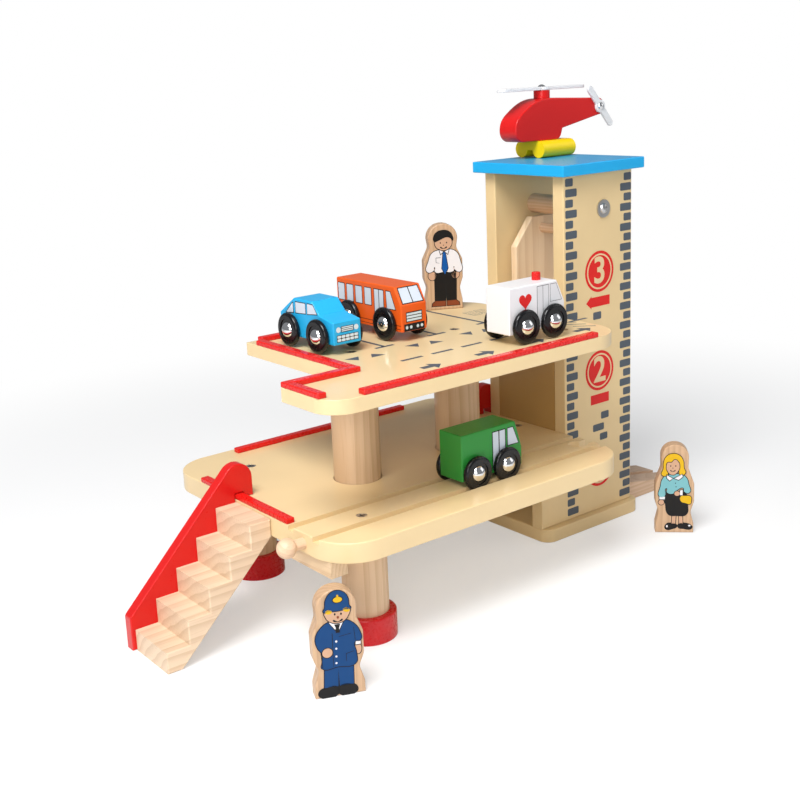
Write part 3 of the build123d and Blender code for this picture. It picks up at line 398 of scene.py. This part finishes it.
rings = add_node(grain, "ShaderNodeTexWave", {"wave_type": "RINGS", "rings_direction": "X",
    "wave_profile": "SAW"}, Distortion=1.2, Detail=2.0, Detail_Scale=1.5)
grain.links.new(bend.outputs[0], rings.inputs["Vector"])
grain.links.new(entry.outputs["Rings"], rings.inputs["Scale"])
thin = add_node(grain, "ShaderNodeMapping", Scale=(0.03, 1.0, 1.0))
grain.links.new(entry.outputs["Vector"], thin.inputs["Vector"])
streak = add_node(grain, "ShaderNodeTexNoise", Scale=900.0, Detail=2.0)
grain.links.new(thin.outputs[0], streak.inputs["Vector"])
late = curve_of(grain, rings.outputs[1], 0.25, 1.0)
weight = add_node(grain, "ShaderNodeMath", {"operation": "MULTIPLY"})
grain.links.new(late, weight.inputs[0])
grain.links.new(entry.outputs["Figure"], weight.inputs[1])
banded = blend_of(grain, weight.outputs[0], entry.outputs["Early"], entry.outputs["Late"])
fine = curve_of(grain, streak.outputs[0], 0.52, 0.72)
speck = add_node(grain, "ShaderNodeMath", {"operation": "MULTIPLY"})
grain.links.new(fine, speck.inputs[0])
grain.links.new(entry.outputs["Pores"], speck.inputs[1])
tone = blend_of(grain, speck.outputs[0], banded, entry.outputs["Late"])
grain.links.new(tone, leave.inputs["Color"])
sheen = add_node(grain, "ShaderNodeMath", {"operation": "MULTIPLY_ADD"}, i1=0.16)
grain.links.new(streak.outputs[0], sheen.inputs[0])
grain.links.new(entry.outputs["Gloss"], sheen.inputs[2])
grain.links.new(sheen.outputs[0], leave.inputs["Roughness"])
grain.links.new(streak.outputs[0], leave.inputs["Height"])


def bare_wood(name, early, late, run="x", rings=150.0, figure=0.5, pores=0.3, gloss=0.36, coat=0.15,
        shift=(0.02, 0.013, 0.017)):
    """Clear-lacquered wood whose grain runs along one axis."""
    turns = {"x": (0, 0, 0), "y": (0, 0, math.pi / 2), "z": (0, math.pi / 2, 0)}
    values = {"Early": (*early, 1), "Late": (*late, 1), "Rings": rings, "Figure": figure,
        "Pores": pores, "Gloss": gloss}
    return finish_with(name, grain, values, coat=coat, bump=0.00003, turn=turns[run], shift=shift)


ply_face = bare_wood("pine ply, grain upright", (0.80, 0.62, 0.42), (0.62, 0.42, 0.24), "z",
    rings=60, figure=0.45)
dress(ply_face, "car_side_front", "car_side_rear")
ply_floor = bare_wood("pine ply, grain lengthwise", (0.80, 0.62, 0.42), (0.62, 0.42, 0.24), "x",
    rings=60, figure=0.45)
dress(ply_floor, "car_floor")
beech_dowel = bare_wood("turned beech", (0.72, 0.49, 0.32), (0.55, 0.33, 0.19), "y", rings=120,
    figure=0.5, pores=0.45)
dress(beech_dowel, "car_dowel", "winch_drum", "crank_handle")
crank_red = lacquer("red lacquer on the crank", (0.62, 0.010, 0.010), gloss=0.22, coat=0.2)
dress(crank_red, "crank_wheel")
zinc = finish_with("zinc-plated steel", lacquer_film,
    {"Colour": (0.55, 0.55, 0.55, 1), "Mottle": 0.3, "Gloss": 0.25, "Peel": 0.6}, metal=1.0)
dress(zinc, "pivot_screw", "pivot_washer")

# ---- Decks ------------------------------------------------------------------
# Both decks are fibreboard with the tower's cream-tan lacquer. The lower one
# is thick, with two track grooves milled along the brick side; the upper one
# is thin and carries the printed parking bays.
deck_lacquer = lacquer("cream-tan lacquer on the decks", (0.800, 0.610, 0.340), mottle=0.08,
    gloss=0.26, coat=0.2)
dress(deck_lacquer, "lower_deck", "upper_deck")

DECK_TOP = (0, 0, 165)  # plane of the upper deck's top, in mm
bays = []
for x, bar_y in ((-177.3, -11.5), (-130.0, -9.3), (-83.2, -7.2)):
    bays.append(ink_patch(slate_ink, 0, rectangle(x - 1.3, x + 1.3, bar_y, 60.0)))
    bays.append(ink_patch(slate_ink, 0, rectangle(x - 7.6, x + 7.6, bar_y - 1.4, bar_y + 1.4)))
for x in (-211.5, -162.0, -114.5, -68.0):
    bays.append(ink_patch(slate_ink, 0, [(x - 5.6, -21.0), (x, -29.2), (x + 5.6, -21.0)]))
    bays.append(ink_patch(slate_ink, 0, [(x + 9.9, -29.6), (x + 21.1, -29.6), (x + 15.5, -21.4)]))
for start in range(7):
    x = -194.8 + 25.4 * start
    bays.append(ink_patch(slate_ink, 0, rectangle(x, x + 17.4, -52.6, -49.8)))
for x in (-198.0, -153.0, -108.0, -63.0):
    arrow = [(x, -77.6), (x + 8.4, -77.6), (x + 8.4, -81.8), (x + 15.6, -75.2), (x + 8.4, -68.6),
        (x + 8.4, -72.8), (x, -72.8)]
    bays.append(ink_patch(slate_ink, 0, arrow))
for x in (-71.0, -60.5):
    bays.append(ink_patch(slate_ink, 0, rectangle(x, x + 8.4, 16.5, 30.5, 0.6)))
    bays.append(ink_patch(deck_lacquer, 1, rectangle(x + 0.5, x + 7.9, 17.0, 30.0, 0.4)))
    for line in range(4):
        y = 18.8 + 3.1 * line
        bays.append(ink_patch(slate_ink, 2, rectangle(x + 1.2, x + 7.2, y, y + 0.4)))
for line in range(4):
    y = -74.0 + 9.0 * line
    bays.append(ink_patch(slate_ink, 0, [(-52.0, y + 10.4), (-51.2, y + 11.6), (-39.6, y + 1.2),
        (-40.4, y)]))
printed("deck_bay_print", bays, "garage", DECK_TOP, (1, 0, 0), (0, 1, 0))

brown_fill = lacquer("brown filler in a screw hole", (0.33, 0.22, 0.12), mottle=0.3, gloss=0.5,
    coat=0.0)
plug = ink_patch(brown_fill, 0, radius=3.4, at=(-62.9, -64.7))
printed("filled_screw_hole", [plug], "garage", DECK_TOP, (1, 0, 0), (0, 1, 0))

# ---- Curbs ------------------------------------------------------------------
# Square red-lacquered laths, glued round the decks' edges so that nothing
# rolls off. The colour is a bright signal red with a full gloss.
curb_red = lacquer("signal-red lacquer on laths", (0.680, 0.012, 0.009), gloss=0.22, coat=0.2)
dress(curb_red, "lower_curbs", "upper_curbs")

# ---- Legs, pillars, battens and screws --------------------------------------
# Turned pine columns carry both decks, the outer legs in red foot rings. Pine
# battens stiffen the lower deck, and countersunk steel screws show on top.
pine_column = bare_wood("turned pine, grain upright", (0.70, 0.50, 0.32), (0.52, 0.33, 0.18), "z",
    rings=62, figure=0.5, pores=0.35)
dress(pine_column, "deck_pillars", "deck_legs")
pine_batten = bare_wood("pine batten", (0.78, 0.58, 0.37), (0.60, 0.39, 0.21), "y", rings=110,
    figure=0.5)
dress(pine_batten, "deck_battens")
beech_peg = bare_wood("turned beech peg", (0.80, 0.56, 0.38), (0.62, 0.40, 0.24), "x", rings=140,
    figure=0.4, pores=0.4)
dress(beech_peg, "track_peg")
ring_red = lacquer("red lacquer on the foot rings", (0.54, 0.006, 0.010), gloss=0.22, coat=0.2)
dress(ring_red, "foot_rings")
dress(zinc, "deck_screws")

# ---- Staircases and ramp ----------------------------------------------------
# Each staircase is a stepped block of clear-lacquered pine with lively grain
# and a red-lacquered side board. The ramp is a single pine wedge.
stair_pine = bare_wood("pine of the stairs", (0.76, 0.58, 0.41), (0.50, 0.31, 0.17), "x", rings=50,
    figure=0.42, pores=0.3, shift=(0.03, 0.06, 0.05))
dress(stair_pine, "stairs_left", "stairs_rear")
side_red = lacquer("red lacquer on the side boards", (0.64, 0.010, 0.009), gloss=0.24, coat=0.15)
dress(side_red, "stairs_left_side", "stairs_rear_side")
ramp_pine = bare_wood("pine of the ramp", (0.72, 0.50, 0.34), (0.58, 0.37, 0.22), "x", rings=110,
    figure=0.5)
dress(ramp_pine, "ramp")

# ---- Wheels -----------------------------------------------------------------
# Turned wooden wheels, dipped black and glossy, on steel pins whose domed
# chrome caps sit in the dish of each wheel.
wheel_black = lacquer("black dipped lacquer", (0.005, 0.005, 0.006), mottle=0.0, gloss=0.2, coat=0.2)
chrome = finish_with("polished cap", lacquer_film,
    {"Colour": (0.80, 0.80, 0.81, 1), "Mottle": 0.05, "Gloss": 0.04, "Peel": 0.05}, metal=1.0)
for vehicle in ("van", "ambulance", "car", "bus"):
    dress(wheel_black, f"{vehicle}_wheels_rear", f"{vehicle}_wheels_front")
    dress(chrome, f"{vehicle}_axle_rear", f"{vehicle}_axle_front")

# ---- Van --------------------------------------------------------------------
# A solid pine block, sprayed leaf green, with the cab's double door and side
# window printed on both sides in pale blue with a dark outline.
van_green = lacquer("leaf-green lacquer", (0.026, 0.270, 0.040), coat=0.12)
dress(van_green, "van_body")
BODY_WIDTH = 22.0  # of all four vehicles, in mm
VAN_TAIL = (-167.0, -63.35, 75.7)  # under the middle of the tail, at the wheels' foot
outline_ink = ink("dark outline ink", (0.006, 0.007, 0.009))
glass_ink = ink("pale window ink", (0.600, 0.660, 0.740), gloss=0.34)


def framed(points, pane, edge=0.55, layer=0, rim=None):
    """A printed pane with its dark outline under it."""
    return [
        ink_patch(rim or outline_ink, layer, points, grow=edge),
        ink_patch(pane, layer + 1, points),
    ]


def both_sides(name, make, body, corner, along, width):
    """The same print on both long sides, each seen from outside."""
    along = Vector(along)
    across = along.cross(Vector((0, 0, 1)))
    near = Vector(corner) + across * width / 2
    far = Vector(corner) - across * width / 2
    printed(name + "_right", make(1), body, near, along, (0, 0, 1))
    printed(name + "_left", make(-1), body, far, -along, (0, 0, 1))


def turned(points, side):
    """Outline for the side that is seen from the other way round."""
    return [(side * x, y) for x, y in points]


def van_side(side):
    """Cab door in two leaves and the slanted window."""
    patches = [ink_patch(outline_ink, 0, turned(rectangle(26.6, 38.8, 9.2, 35.3), side))]
    for x0, x1 in ((27.3, 32.3), (33.2, 38.1)):
        patches.append(ink_patch(glass_ink, 1, turned(rectangle(x0, x1, 9.9, 34.6), side)))
    return patches + framed(turned([(40.6, 34.6), (45.2, 34.6), (49.9, 23.0), (40.6, 23.2)], side),
        glass_ink)


both_sides("van_print", van_side, "van", VAN_TAIL, (1, 0, 0), BODY_WIDTH)

# ---- Ambulance --------------------------------------------------------------
# A white-lacquered block with a plain red heart and thin grey outlines of the
# door and windows on both sides, and a red dowel stub as its beacon.
ambulance_white = lacquer("white lacquer", (0.800, 0.795, 0.815), mottle=0.03, coat=0.12)
dress(ambulance_white, "ambulance_body")
dress(curb_red, "ambulance_beacon")
pale_ink = ink("pale grey window ink", (0.700, 0.710, 0.735), gloss=0.3)
line_ink = ink("grey outline ink", (0.110, 0.110, 0.125))


AMBULANCE_TAIL = (-123.3, -64.0, 165.2)


def ambulance_side(side):
    """Heart, double door and slanted window."""
    heart = []
    for step in range(28):
        bow = 2 * math.pi * step / 28
        rise = 13 * math.cos(bow) - 5 * math.cos(2 * bow) - 2 * math.cos(3 * bow) - math.cos(4 * bow)
        heart.append((14.6 + 0.36 * 16 * math.sin(bow) ** 3, 28.0 + 0.36 * rise))
    patches = [ink_patch(red_ink, 0, turned(heart, side))]
    patches.append(ink_patch(line_ink, 0, turned(rectangle(25.2, 36.2, 9.0, 36.2), side)))
    for x0, x1 in ((25.6, 30.5), (30.9, 35.8)):
        patches.append(ink_patch(pale_ink, 1, turned(rectangle(x0, x1, 9.4, 35.8), side)))
    return patches + framed(turned([(37.6, 35.8), (43.0, 35.8), (48.0, 24.4), (37.6, 24.4)], side),
        pale_ink, 0.35, rim=line_ink)


both_sides("ambulance_print", ambulance_side, "ambulance", AMBULANCE_TAIL, (1, 0, 0), BODY_WIDTH)

# ---- Blue car ---------------------------------------------------------------
# A sky-blue block with a low roof. Three windows are printed on each side,
# and two lamps, a grille and a chequered bumper on the nose.
car_blue = lacquer("bright blue lacquer", (0.020, 0.400, 0.740), coat=0.12)
dress(car_blue, "car_body")
lamp_ink = ink("pale lamp ink", (0.640, 0.740, 0.790), gloss=0.25)


def car_side(side):
    """Quarter, rear and front windows under one roof line."""
    patches = framed(turned([(8.2, 22.6), (16.5, 23.2), (16.5, 29.8), (15.6, 29.4)], side), glass_ink)
    patches += framed(turned([(19.6, 23.4), (31.2, 24.2), (31.2, 30.9), (19.8, 30.6)], side), glass_ink)
    return patches + framed(turned([(33.4, 24.2), (44.4, 25.4), (40.0, 31.0), (33.8, 31.0)], side),
        glass_ink)


both_sides("car_print", car_side, "blue_car", (-206.0, 52.0, 165.2), (0, -1, 0), BODY_WIDTH)
nose = [ink_patch(lamp_ink, 0, radius=1.8, at=(x, 16.9)) for x in (-7.1, 7.1)]
nose.append(ink_patch(outline_ink, 0, rectangle(-5.1, 5.1, 15.0, 18.9, 0.3)))
for line in range(3):
    z = 15.5 + 1.15 * line
    nose.append(ink_patch(lamp_ink, 1, rectangle(-4.6, 4.6, z, z + 0.75)))
nose.append(ink_patch(outline_ink, 0, rectangle(-8.6, 8.6, 8.7, 13.4, 0.3)))
for column in range(5):
    x = -8.25 + 3.38 * column
    for row in (9.1, 11.3):
        nose.append(ink_patch(lamp_ink, 1, rectangle(x, x + 2.98, row, row + 1.75, 0.5)))
printed("car_nose_print", nose, "blue_car", (-206.0, -10.5, 165.2), (1, 0, 0), (0, 0, 1))

# ---- Bus --------------------------------------------------------------------
# An orange block with four side windows, a double door and two trim lines on
# each side, a split windscreen on the leaning front, a grille and a lamp bar.
bus_orange = lacquer("orange lacquer", (0.760, 0.105, 0.010), coat=0.12)
dress(bus_orange, "bus_body")


def bus_side(side):
    """Windows, door and trim."""
    patches = []
    for x0 in (0.9, 11.1, 21.4, 31.9):
        patches += framed(turned(rectangle(x0, x0 + 7.2, 21.9, 33.5, 0.3), side), glass_ink)
    patches.append(ink_patch(outline_ink, 0, turned(rectangle(42.3, 53.4, 9.4, 34.1), side)))
    for x0, x1 in ((42.9, 47.5), (48.2, 52.8)):
        patches.append(ink_patch(glass_ink, 1, turned(rectangle(x0, x1, 10.0, 33.5), side)))
    patches += framed(turned([(56.0, 33.5), (60.4, 33.5), (65.6, 22.0), (56.6, 21.8)], side), glass_ink)
    for z in (8.8, 11.3):
        patches.append(ink_patch(outline_ink, 0,
            turned(rectangle(0.0, 41.8, z - 0.18, z + 0.18), side)))
        patches.append(ink_patch(outline_ink, 0,
            turned(rectangle(53.9, 71.0, z - 0.18, z + 0.18), side)))
    return patches


both_sides("bus_print", bus_side, "bus", (-152.3, 58.5, 165.2), (0, -1, 0), BODY_WIDTH)
front = [ink_patch(outline_ink, 0, rectangle(-7.0, 7.0, 13.3, 20.2, 0.4))]
for line in range(3):
    z = 13.9 + 2.05 * line
    front.append(ink_patch(lamp_ink, 1, rectangle(-6.4, 6.4, z, z + 1.45)))
front.append(ink_patch(outline_ink, 0, rectangle(-8.8, 8.8, 7.2, 12.2, 0.3)))
front += [ink_patch(lamp_ink, 1, radius=1.1, at=(x, 9.7)) for x in (-6.5, -2.9, 2.9, 6.5)]
printed("bus_front_print", front, "bus", (-152.3, -13.2, 165.2), (1, 0, 0), (0, 0, 1))
lean = Vector((0, 7.0, 12.2)).normalized()
screen = [ink_patch(outline_ink, 0, [(-9.3, 0.9), (9.3, 0.9), (8.8, 13.2), (-8.8, 13.2)])]
screen.append(ink_patch(glass_ink, 1, [(-8.6, 1.6), (-0.4, 1.6), (-0.4, 12.5), (-8.1, 12.5)]))
screen.append(ink_patch(glass_ink, 1, [(0.4, 1.6), (8.6, 1.6), (8.1, 12.5), (0.4, 12.5)]))
printed("bus_screen_print", screen, "bus", (-152.3, -13.2, 190.2), (1, 0, 0), lean)

# ---- Helicopter -------------------------------------------------------------
# A red-lacquered slab with a rounded nose and a rising boom, glued on a pair
# of yellow rods. White two-bladed rotors turn on small domed pins.
heli_red = lacquer("red lacquer on the helicopter", (0.600, 0.009, 0.009), gloss=0.26, coat=0.15)
dress(heli_red, "heli_fuselage", "heli_mast")
skid_yellow = lacquer("yellow lacquer", (0.880, 0.620, 0.002), gloss=0.26, coat=0.15)
dress(skid_yellow, "heli_skids")
rotor_white = lacquer("white moulded rotor", (0.740, 0.745, 0.760), mottle=0.02, coat=0.12)
dress(rotor_white, "heli_main_rotor", "heli_tail_rotor")
dress(chrome, "heli_rotor_pins")

# ---- Figures ----------------------------------------------------------------
# Cut from a pine board with the grain showing all round, and printed on one
# face: an office worker, a shopper with a bag and an officer in a helmet.
# Each colour is one flat patch over a slightly larger dark outline.
figure_wood = bare_wood("fret-cut pine", (0.58, 0.38, 0.23), (0.42, 0.25, 0.14), "z", rings=110,
    figure=0.5, pores=0.3)
dress(figure_wood, "figure_office", "figure_shopper", "figure_police")
skin_ink = ink("skin ink", (0.600, 0.360, 0.230))
black_ink = ink("black ink", (0.006, 0.005, 0.005))
white_ink = ink("white ink", (0.780, 0.760, 0.780))
tie_blue = ink("mid-blue ink", (0.001, 0.085, 0.340))
shoe_brown = ink("brown ink", (0.230, 0.050, 0.015))
hair_gold = ink("golden-yellow ink", (0.720, 0.430, 0.008))
teal_ink = ink("teal ink", (0.190, 0.460, 0.500))
navy_ink = ink("navy-blue ink", (0.000, 0.048, 0.175))


def drawn(shapes, shift=0.0, edge=0.5):
    """Patches from the back to the front: (ink, layer, smooth, outlined, points)."""
    patches = []
    for colour, layer, smooth, outlined, points in shapes:
        points = [(x + shift, z) for x, z in points]
        if outlined:
            patches.append(ink_patch(outline_ink, layer, points, grow=edge, smooth=smooth))
        patches.append(ink_patch(colour, layer + 1, points, smooth=smooth))
    return patches


def figure_print(name, shapes, shift, body, x, y, z, turn_deg):
    """Lays a drawn figure on its board's printed face."""
    turn_rad = math.radians(turn_deg)
    along = (math.cos(turn_rad), math.sin(turn_rad), 0)
    return printed(name, drawn(shapes, shift), body, (x, y, z), along, (0, 0, 1))


def oval(x, z, across, high, count=8):
    """Points of an upright ellipse."""
    return [(x + across * math.cos(2 * math.pi * i / count),
        z + high * math.sin(2 * math.pi * i / count)) for i in range(count)]


def smile(x, z, half, sag, width=0.32):
    """A thin crescent."""
    return [(x - half, z), (x, z - sag), (x + half, z), (x, z - sag - width)]


office = [
    (skin_ink, 0, True, True, oval(-10.6, 26.6, 3.0, 3.6)),
    (skin_ink, 0, True, True, oval(7.4, 26.8, 3.0, 3.4)),
    (black_ink, 0, False, True, [(-8.6, 30.0), (8.0, 30.0), (7.4, 6.8), (0.3, 6.8), (-0.2, 25.0),
        (-0.9, 6.8), (-8.8, 6.8)]),
    (shoe_brown, 0, False, True, [(-11.4, 2.9), (-0.9, 2.9), (-0.9, 6.6), (-8.6, 6.8), (-11.0, 5.0)]),
    (shoe_brown, 0, False, True, [(0.4, 2.9), (10.0, 2.9), (9.6, 5.0), (7.4, 6.8), (0.4, 6.6)]),
    (white_ink, 2, True, True, [(-5.0, 45.6), (-10.2, 43.6), (-13.0, 38.0), (-14.3, 29.6),
        (-9.4, 30.4), (-8.6, 33.0), (-8.4, 29.3), (-1.0, 29.0), (6.0, 29.3), (6.4, 32.6),
        (6.6, 30.6), (11.6, 28.6), (11.2, 37.0), (8.6, 43.4), (3.0, 45.9)]),
    (skin_ink, 4, True, True, oval(-1.3, 51.2, 6.6, 5.9)),
    (tie_blue, 4, False, True, [(-2.6, 44.6), (0.7, 44.6), (0.1, 42.6), (1.7, 31.6), (-0.7, 27.0),
        (-2.9, 31.6), (-1.8, 42.6)]),
    (white_ink, 6, False, True, [(-4.6, 45.8), (-1.5, 44.3), (-3.6, 42.4)]),
    (white_ink, 6, False, True, [(2.8, 45.8), (-0.4, 44.3), (1.8, 42.4)]),
    (black_ink, 6, True, False, [(-8.2, 52.0), (-8.6, 56.6), (-6.0, 59.6), (-1.6, 60.7),
        (3.2, 59.6), (5.9, 56.4), (5.6, 52.0), (4.6, 53.6), (1.8, 55.0), (-2.0, 54.0), (-5.4, 52.6)]),
    (outline_ink, 6, True, False, oval(-3.6, 51.0, 0.45, 0.6)),
    (outline_ink, 6, True, False, oval(1.2, 51.0, 0.45, 0.6)),
    (outline_ink, 6, True, False, oval(-1.2, 49.2, 0.35, 0.4)),
    (outline_ink, 6, True, False, smile(-1.2, 47.9, 2.6, 1.1)),
    (outline_ink, 5, False, False, [(-7.5, 40.0), (-3.6, 40.0), (-3.6, 39.7), (-7.2, 39.7),
        (-7.2, 36.4), (-4.0, 35.6), (-7.5, 36.1)]),
]
figure_print("office_worker_print", office, 1.6, "office_figure", -70.0, 51.3, 165.0, -28.0)

shopper = [
    (skin_ink, 0, True, True, oval(-10.9, 23.8, 2.0, 1.9)),
    (skin_ink, 0, False, True, [(-3.0, 14.0), (-3.2, 7.0), (-0.6, 7.0), (-0.2, 14.0)]),
    (skin_ink, 0, False, True, [(1.9, 14.0), (2.2, 7.0), (4.8, 7.0), (4.4, 14.0)]),
    (black_ink, 0, True, True, [(-7.6, 3.2), (-6.9, 6.6), (-3.8, 7.4), (-0.6, 6.8), (0.4, 5.0),
        (-2.0, 3.4)]),
    (black_ink, 0, True, True, [(1.6, 4.4), (2.2, 7.0), (6.0, 7.4), (10.0, 6.2), (11.4, 4.0),
        (5.0, 3.4)]),
    (white_ink, 2, True, False, oval(-6.6, 5.0, 0.7, 0.9)),
    (white_ink, 2, True, False, oval(9.6, 5.6, 0.9, 0.7)),
    (black_ink, 2, True, True, [(-7.4, 32.0), (0.0, 32.0), (7.0, 30.0), (8.0, 22.0), (7.0, 14.4),
        (0.4, 13.6), (-5.4, 14.4), (-7.6, 22.0)]),
    (teal_ink, 4, True, True, [(-6.6, 45.0), (-9.8, 42.6), (-11.6, 36.0), (-12.2, 28.4),
        (-8.6, 28.6), (-7.2, 35.0), (-6.8, 31.6), (-1.6, 31.0), (0.6, 33.6), (4.8, 35.2),
        (5.6, 32.2), (9.2, 31.4), (8.6, 38.0), (6.8, 43.2), (3.4, 45.4)]),
    (white_ink, 4, False, True, [(-12.2, 26.2), (-8.4, 26.2), (-8.2, 28.3), (-12.3, 28.2)]),
    (skin_ink, 6, True, True, oval(0.4, 30.8, 1.9, 1.8)),
    (white_ink, 6, False, True, [(2.4, 29.6), (4.4, 29.4), (4.4, 33.6), (2.6, 33.2)]),
    (hair_gold, 6, True, True, [(3.4, 24.6), (3.0, 28.4), (6.4, 29.0), (10.2, 28.4), (10.6, 25.0),
        (10.0, 22.8), (6.4, 23.4)]),
    (hair_gold, 6, True, True, [(-2.6, 61.6), (-6.6, 60.2), (-9.2, 56.0), (-9.6, 50.0),
        (-10.6, 45.2), (-6.8, 45.0), (-6.2, 48.6), (1.4, 48.6), (2.2, 45.6), (6.0, 46.4),
        (5.0, 51.0), (4.4, 56.4), (1.6, 60.4)]),
    (skin_ink, 8, True, True, [(-7.2, 53.0), (-6.8, 48.6), (-3.2, 45.4), (0.8, 48.0), (1.9, 53.0),
        (0.4, 56.0), (-1.2, 57.0), (-3.8, 54.9), (-6.6, 54.6)]),
    (white_ink, 8, False, True, [(-7.0, 45.0), (-2.9, 42.6), (-5.0, 40.8), (-7.0, 42.8)]),
    (white_ink, 8, False, True, [(3.8, 45.6), (-1.6, 42.6), (1.4, 41.4), (4.4, 43.8)]),
    (outline_ink, 10, True, False, oval(-4.4, 52.2, 0.42, 0.55)),
    (outline_ink, 10, True, False, oval(-0.8, 52.2, 0.42, 0.55)),
    (outline_ink, 10, True, False, oval(-2.8, 50.6, 0.35, 0.35)),
    (outline_ink, 10, True, False, smile(-2.8, 49.0, 1.9, 0.9)),
    (outline_ink, 6, True, False, oval(-0.8, 38.9, 0.4, 0.4)),
    (outline_ink, 6, True, False, oval(-0.4, 36.0, 0.4, 0.4)),
]
figure_print("shopper_print", shopper, 1.2, "shopper_figure", 22.9, -93.3, 0.0, -45.0)

officer = [
    (black_ink, 0, True, True, [(-10.6, 1.4), (-10.6, 4.6), (-7.2, 6.0), (0.2, 5.8), (0.0, 1.6)]),
    (black_ink, 0, True, True, [(0.8, 1.6), (0.8, 5.8), (8.6, 6.0), (11.0, 4.0), (10.8, 1.4)]),
    (navy_ink, 0, False, True, [(-7.0, 19.0), (-7.8, 6.2), (0.2, 6.2), (0.8, 17.0), (1.1, 6.2),
        (9.2, 6.2), (9.6, 19.0)]),
    (skin_ink, 0, True, True, oval(12.8, 27.4, 1.9, 3.2)),
    (white_ink, 2, False, True, [(11.4, 30.0), (14.4, 30.0), (14.4, 32.4), (11.6, 32.4)]),
    (navy_ink, 4, True, True, [(-3.6, 45.8), (-8.2, 42.8), (-11.2, 37.6), (-10.4, 31.4),
        (-8.0, 27.4), (-8.2, 22.0), (-8.6, 18.8), (1.0, 18.3), (11.0, 18.8), (11.6, 25.0),
        (11.2, 32.2), (14.4, 32.6), (14.0, 38.2), (11.0, 43.0), (6.4, 45.9)]),
    (outline_ink, 5, False, False, [(-8.9, 28.0), (-8.5, 28.0), (-8.0, 19.0), (-8.4, 19.0)]),
    (outline_ink, 5, False, False, [(-2.0, 18.6), (-1.7, 18.6), (-1.5, 39.0), (-1.9, 39.0)]),
    (outline_ink, 5, False, False, [(5.6, 25.6), (10.4, 26.6), (10.4, 26.3), (5.9, 25.3),
        (5.9, 21.0), (5.6, 21.0)]),
    (outline_ink, 5, False, False, [(2.0, 36.6), (9.0, 37.6), (9.0, 37.3), (2.0, 36.3)]),
    (outline_ink, 5, False, False, [(10.6, 41.0), (10.9, 41.0), (11.5, 33.0), (11.2, 33.0)]),
    (skin_ink, 6, True, True, oval(-5.0, 27.6, 2.9, 2.8)),
    (white_ink, 6, False, True, [(-3.2, 45.8), (5.2, 45.8), (2.6, 40.8), (1.5, 43.8), (0.2, 41.0)]),
    (black_ink, 8, False, False, [(-0.2, 44.2), (3.2, 44.2), (2.4, 41.6), (2.9, 39.0), (0.3, 39.0),
        (0.8, 41.6)]),
    (white_ink, 6, True, False, oval(0.4, 33.8, 0.6, 0.6)),
    (white_ink, 6, True, False, oval(0.2, 29.4, 0.6, 0.6)),
    (white_ink, 6, True, False, oval(0.0, 24.7, 0.6, 0.6)),
    (white_ink, 6, True, False, oval(-0.2, 20.6, 0.6, 0.6)),
    (skin_ink, 8, True, True, [(-5.0, 53.2), (-4.6, 48.6), (-1.8, 45.8), (1.8, 44.9), (5.4, 45.8),
        (8.0, 48.6), (8.8, 53.2)]),
    (hair_gold, 10, True, False, [(-4.8, 52.8), (-4.0, 51.0), (-1.2, 51.8), (-1.8, 53.0)]),
    (hair_gold, 10, True, False, [(5.4, 53.0), (5.4, 51.9), (8.6, 51.0), (8.8, 52.8)]),
    (navy_ink, 10, True, True, [(-6.0, 52.9), (-5.2, 54.4), (-4.4, 59.4), (-1.6, 63.2), (1.8, 64.4),
        (5.4, 63.2), (8.2, 59.4), (8.8, 54.4), (9.6, 52.9), (5.6, 52.4), (1.8, 52.2), (-2.0, 52.4)]),
    (hair_gold, 12, True, True, oval(2.4, 58.9, 2.6, 1.6)),
    (hair_gold, 12, True, False, oval(2.4, 60.9, 0.6, 1.0)),
    (outline_ink, 10, True, False, oval(0.4, 50.4, 0.5, 0.7)),
    (outline_ink, 10, True, False, oval(4.0, 50.2, 0.5, 0.7)),
    (shoe_brown, 10, True, False, oval(2.1, 48.3, 0.7, 0.8)),
    (outline_ink, 10, True, False, smile(2.0, 46.9, 2.8, 1.1)),
]
figure_print("officer_print", officer, -1.5, "police_figure", -299.0, -116.1, 0.0, -23.0)
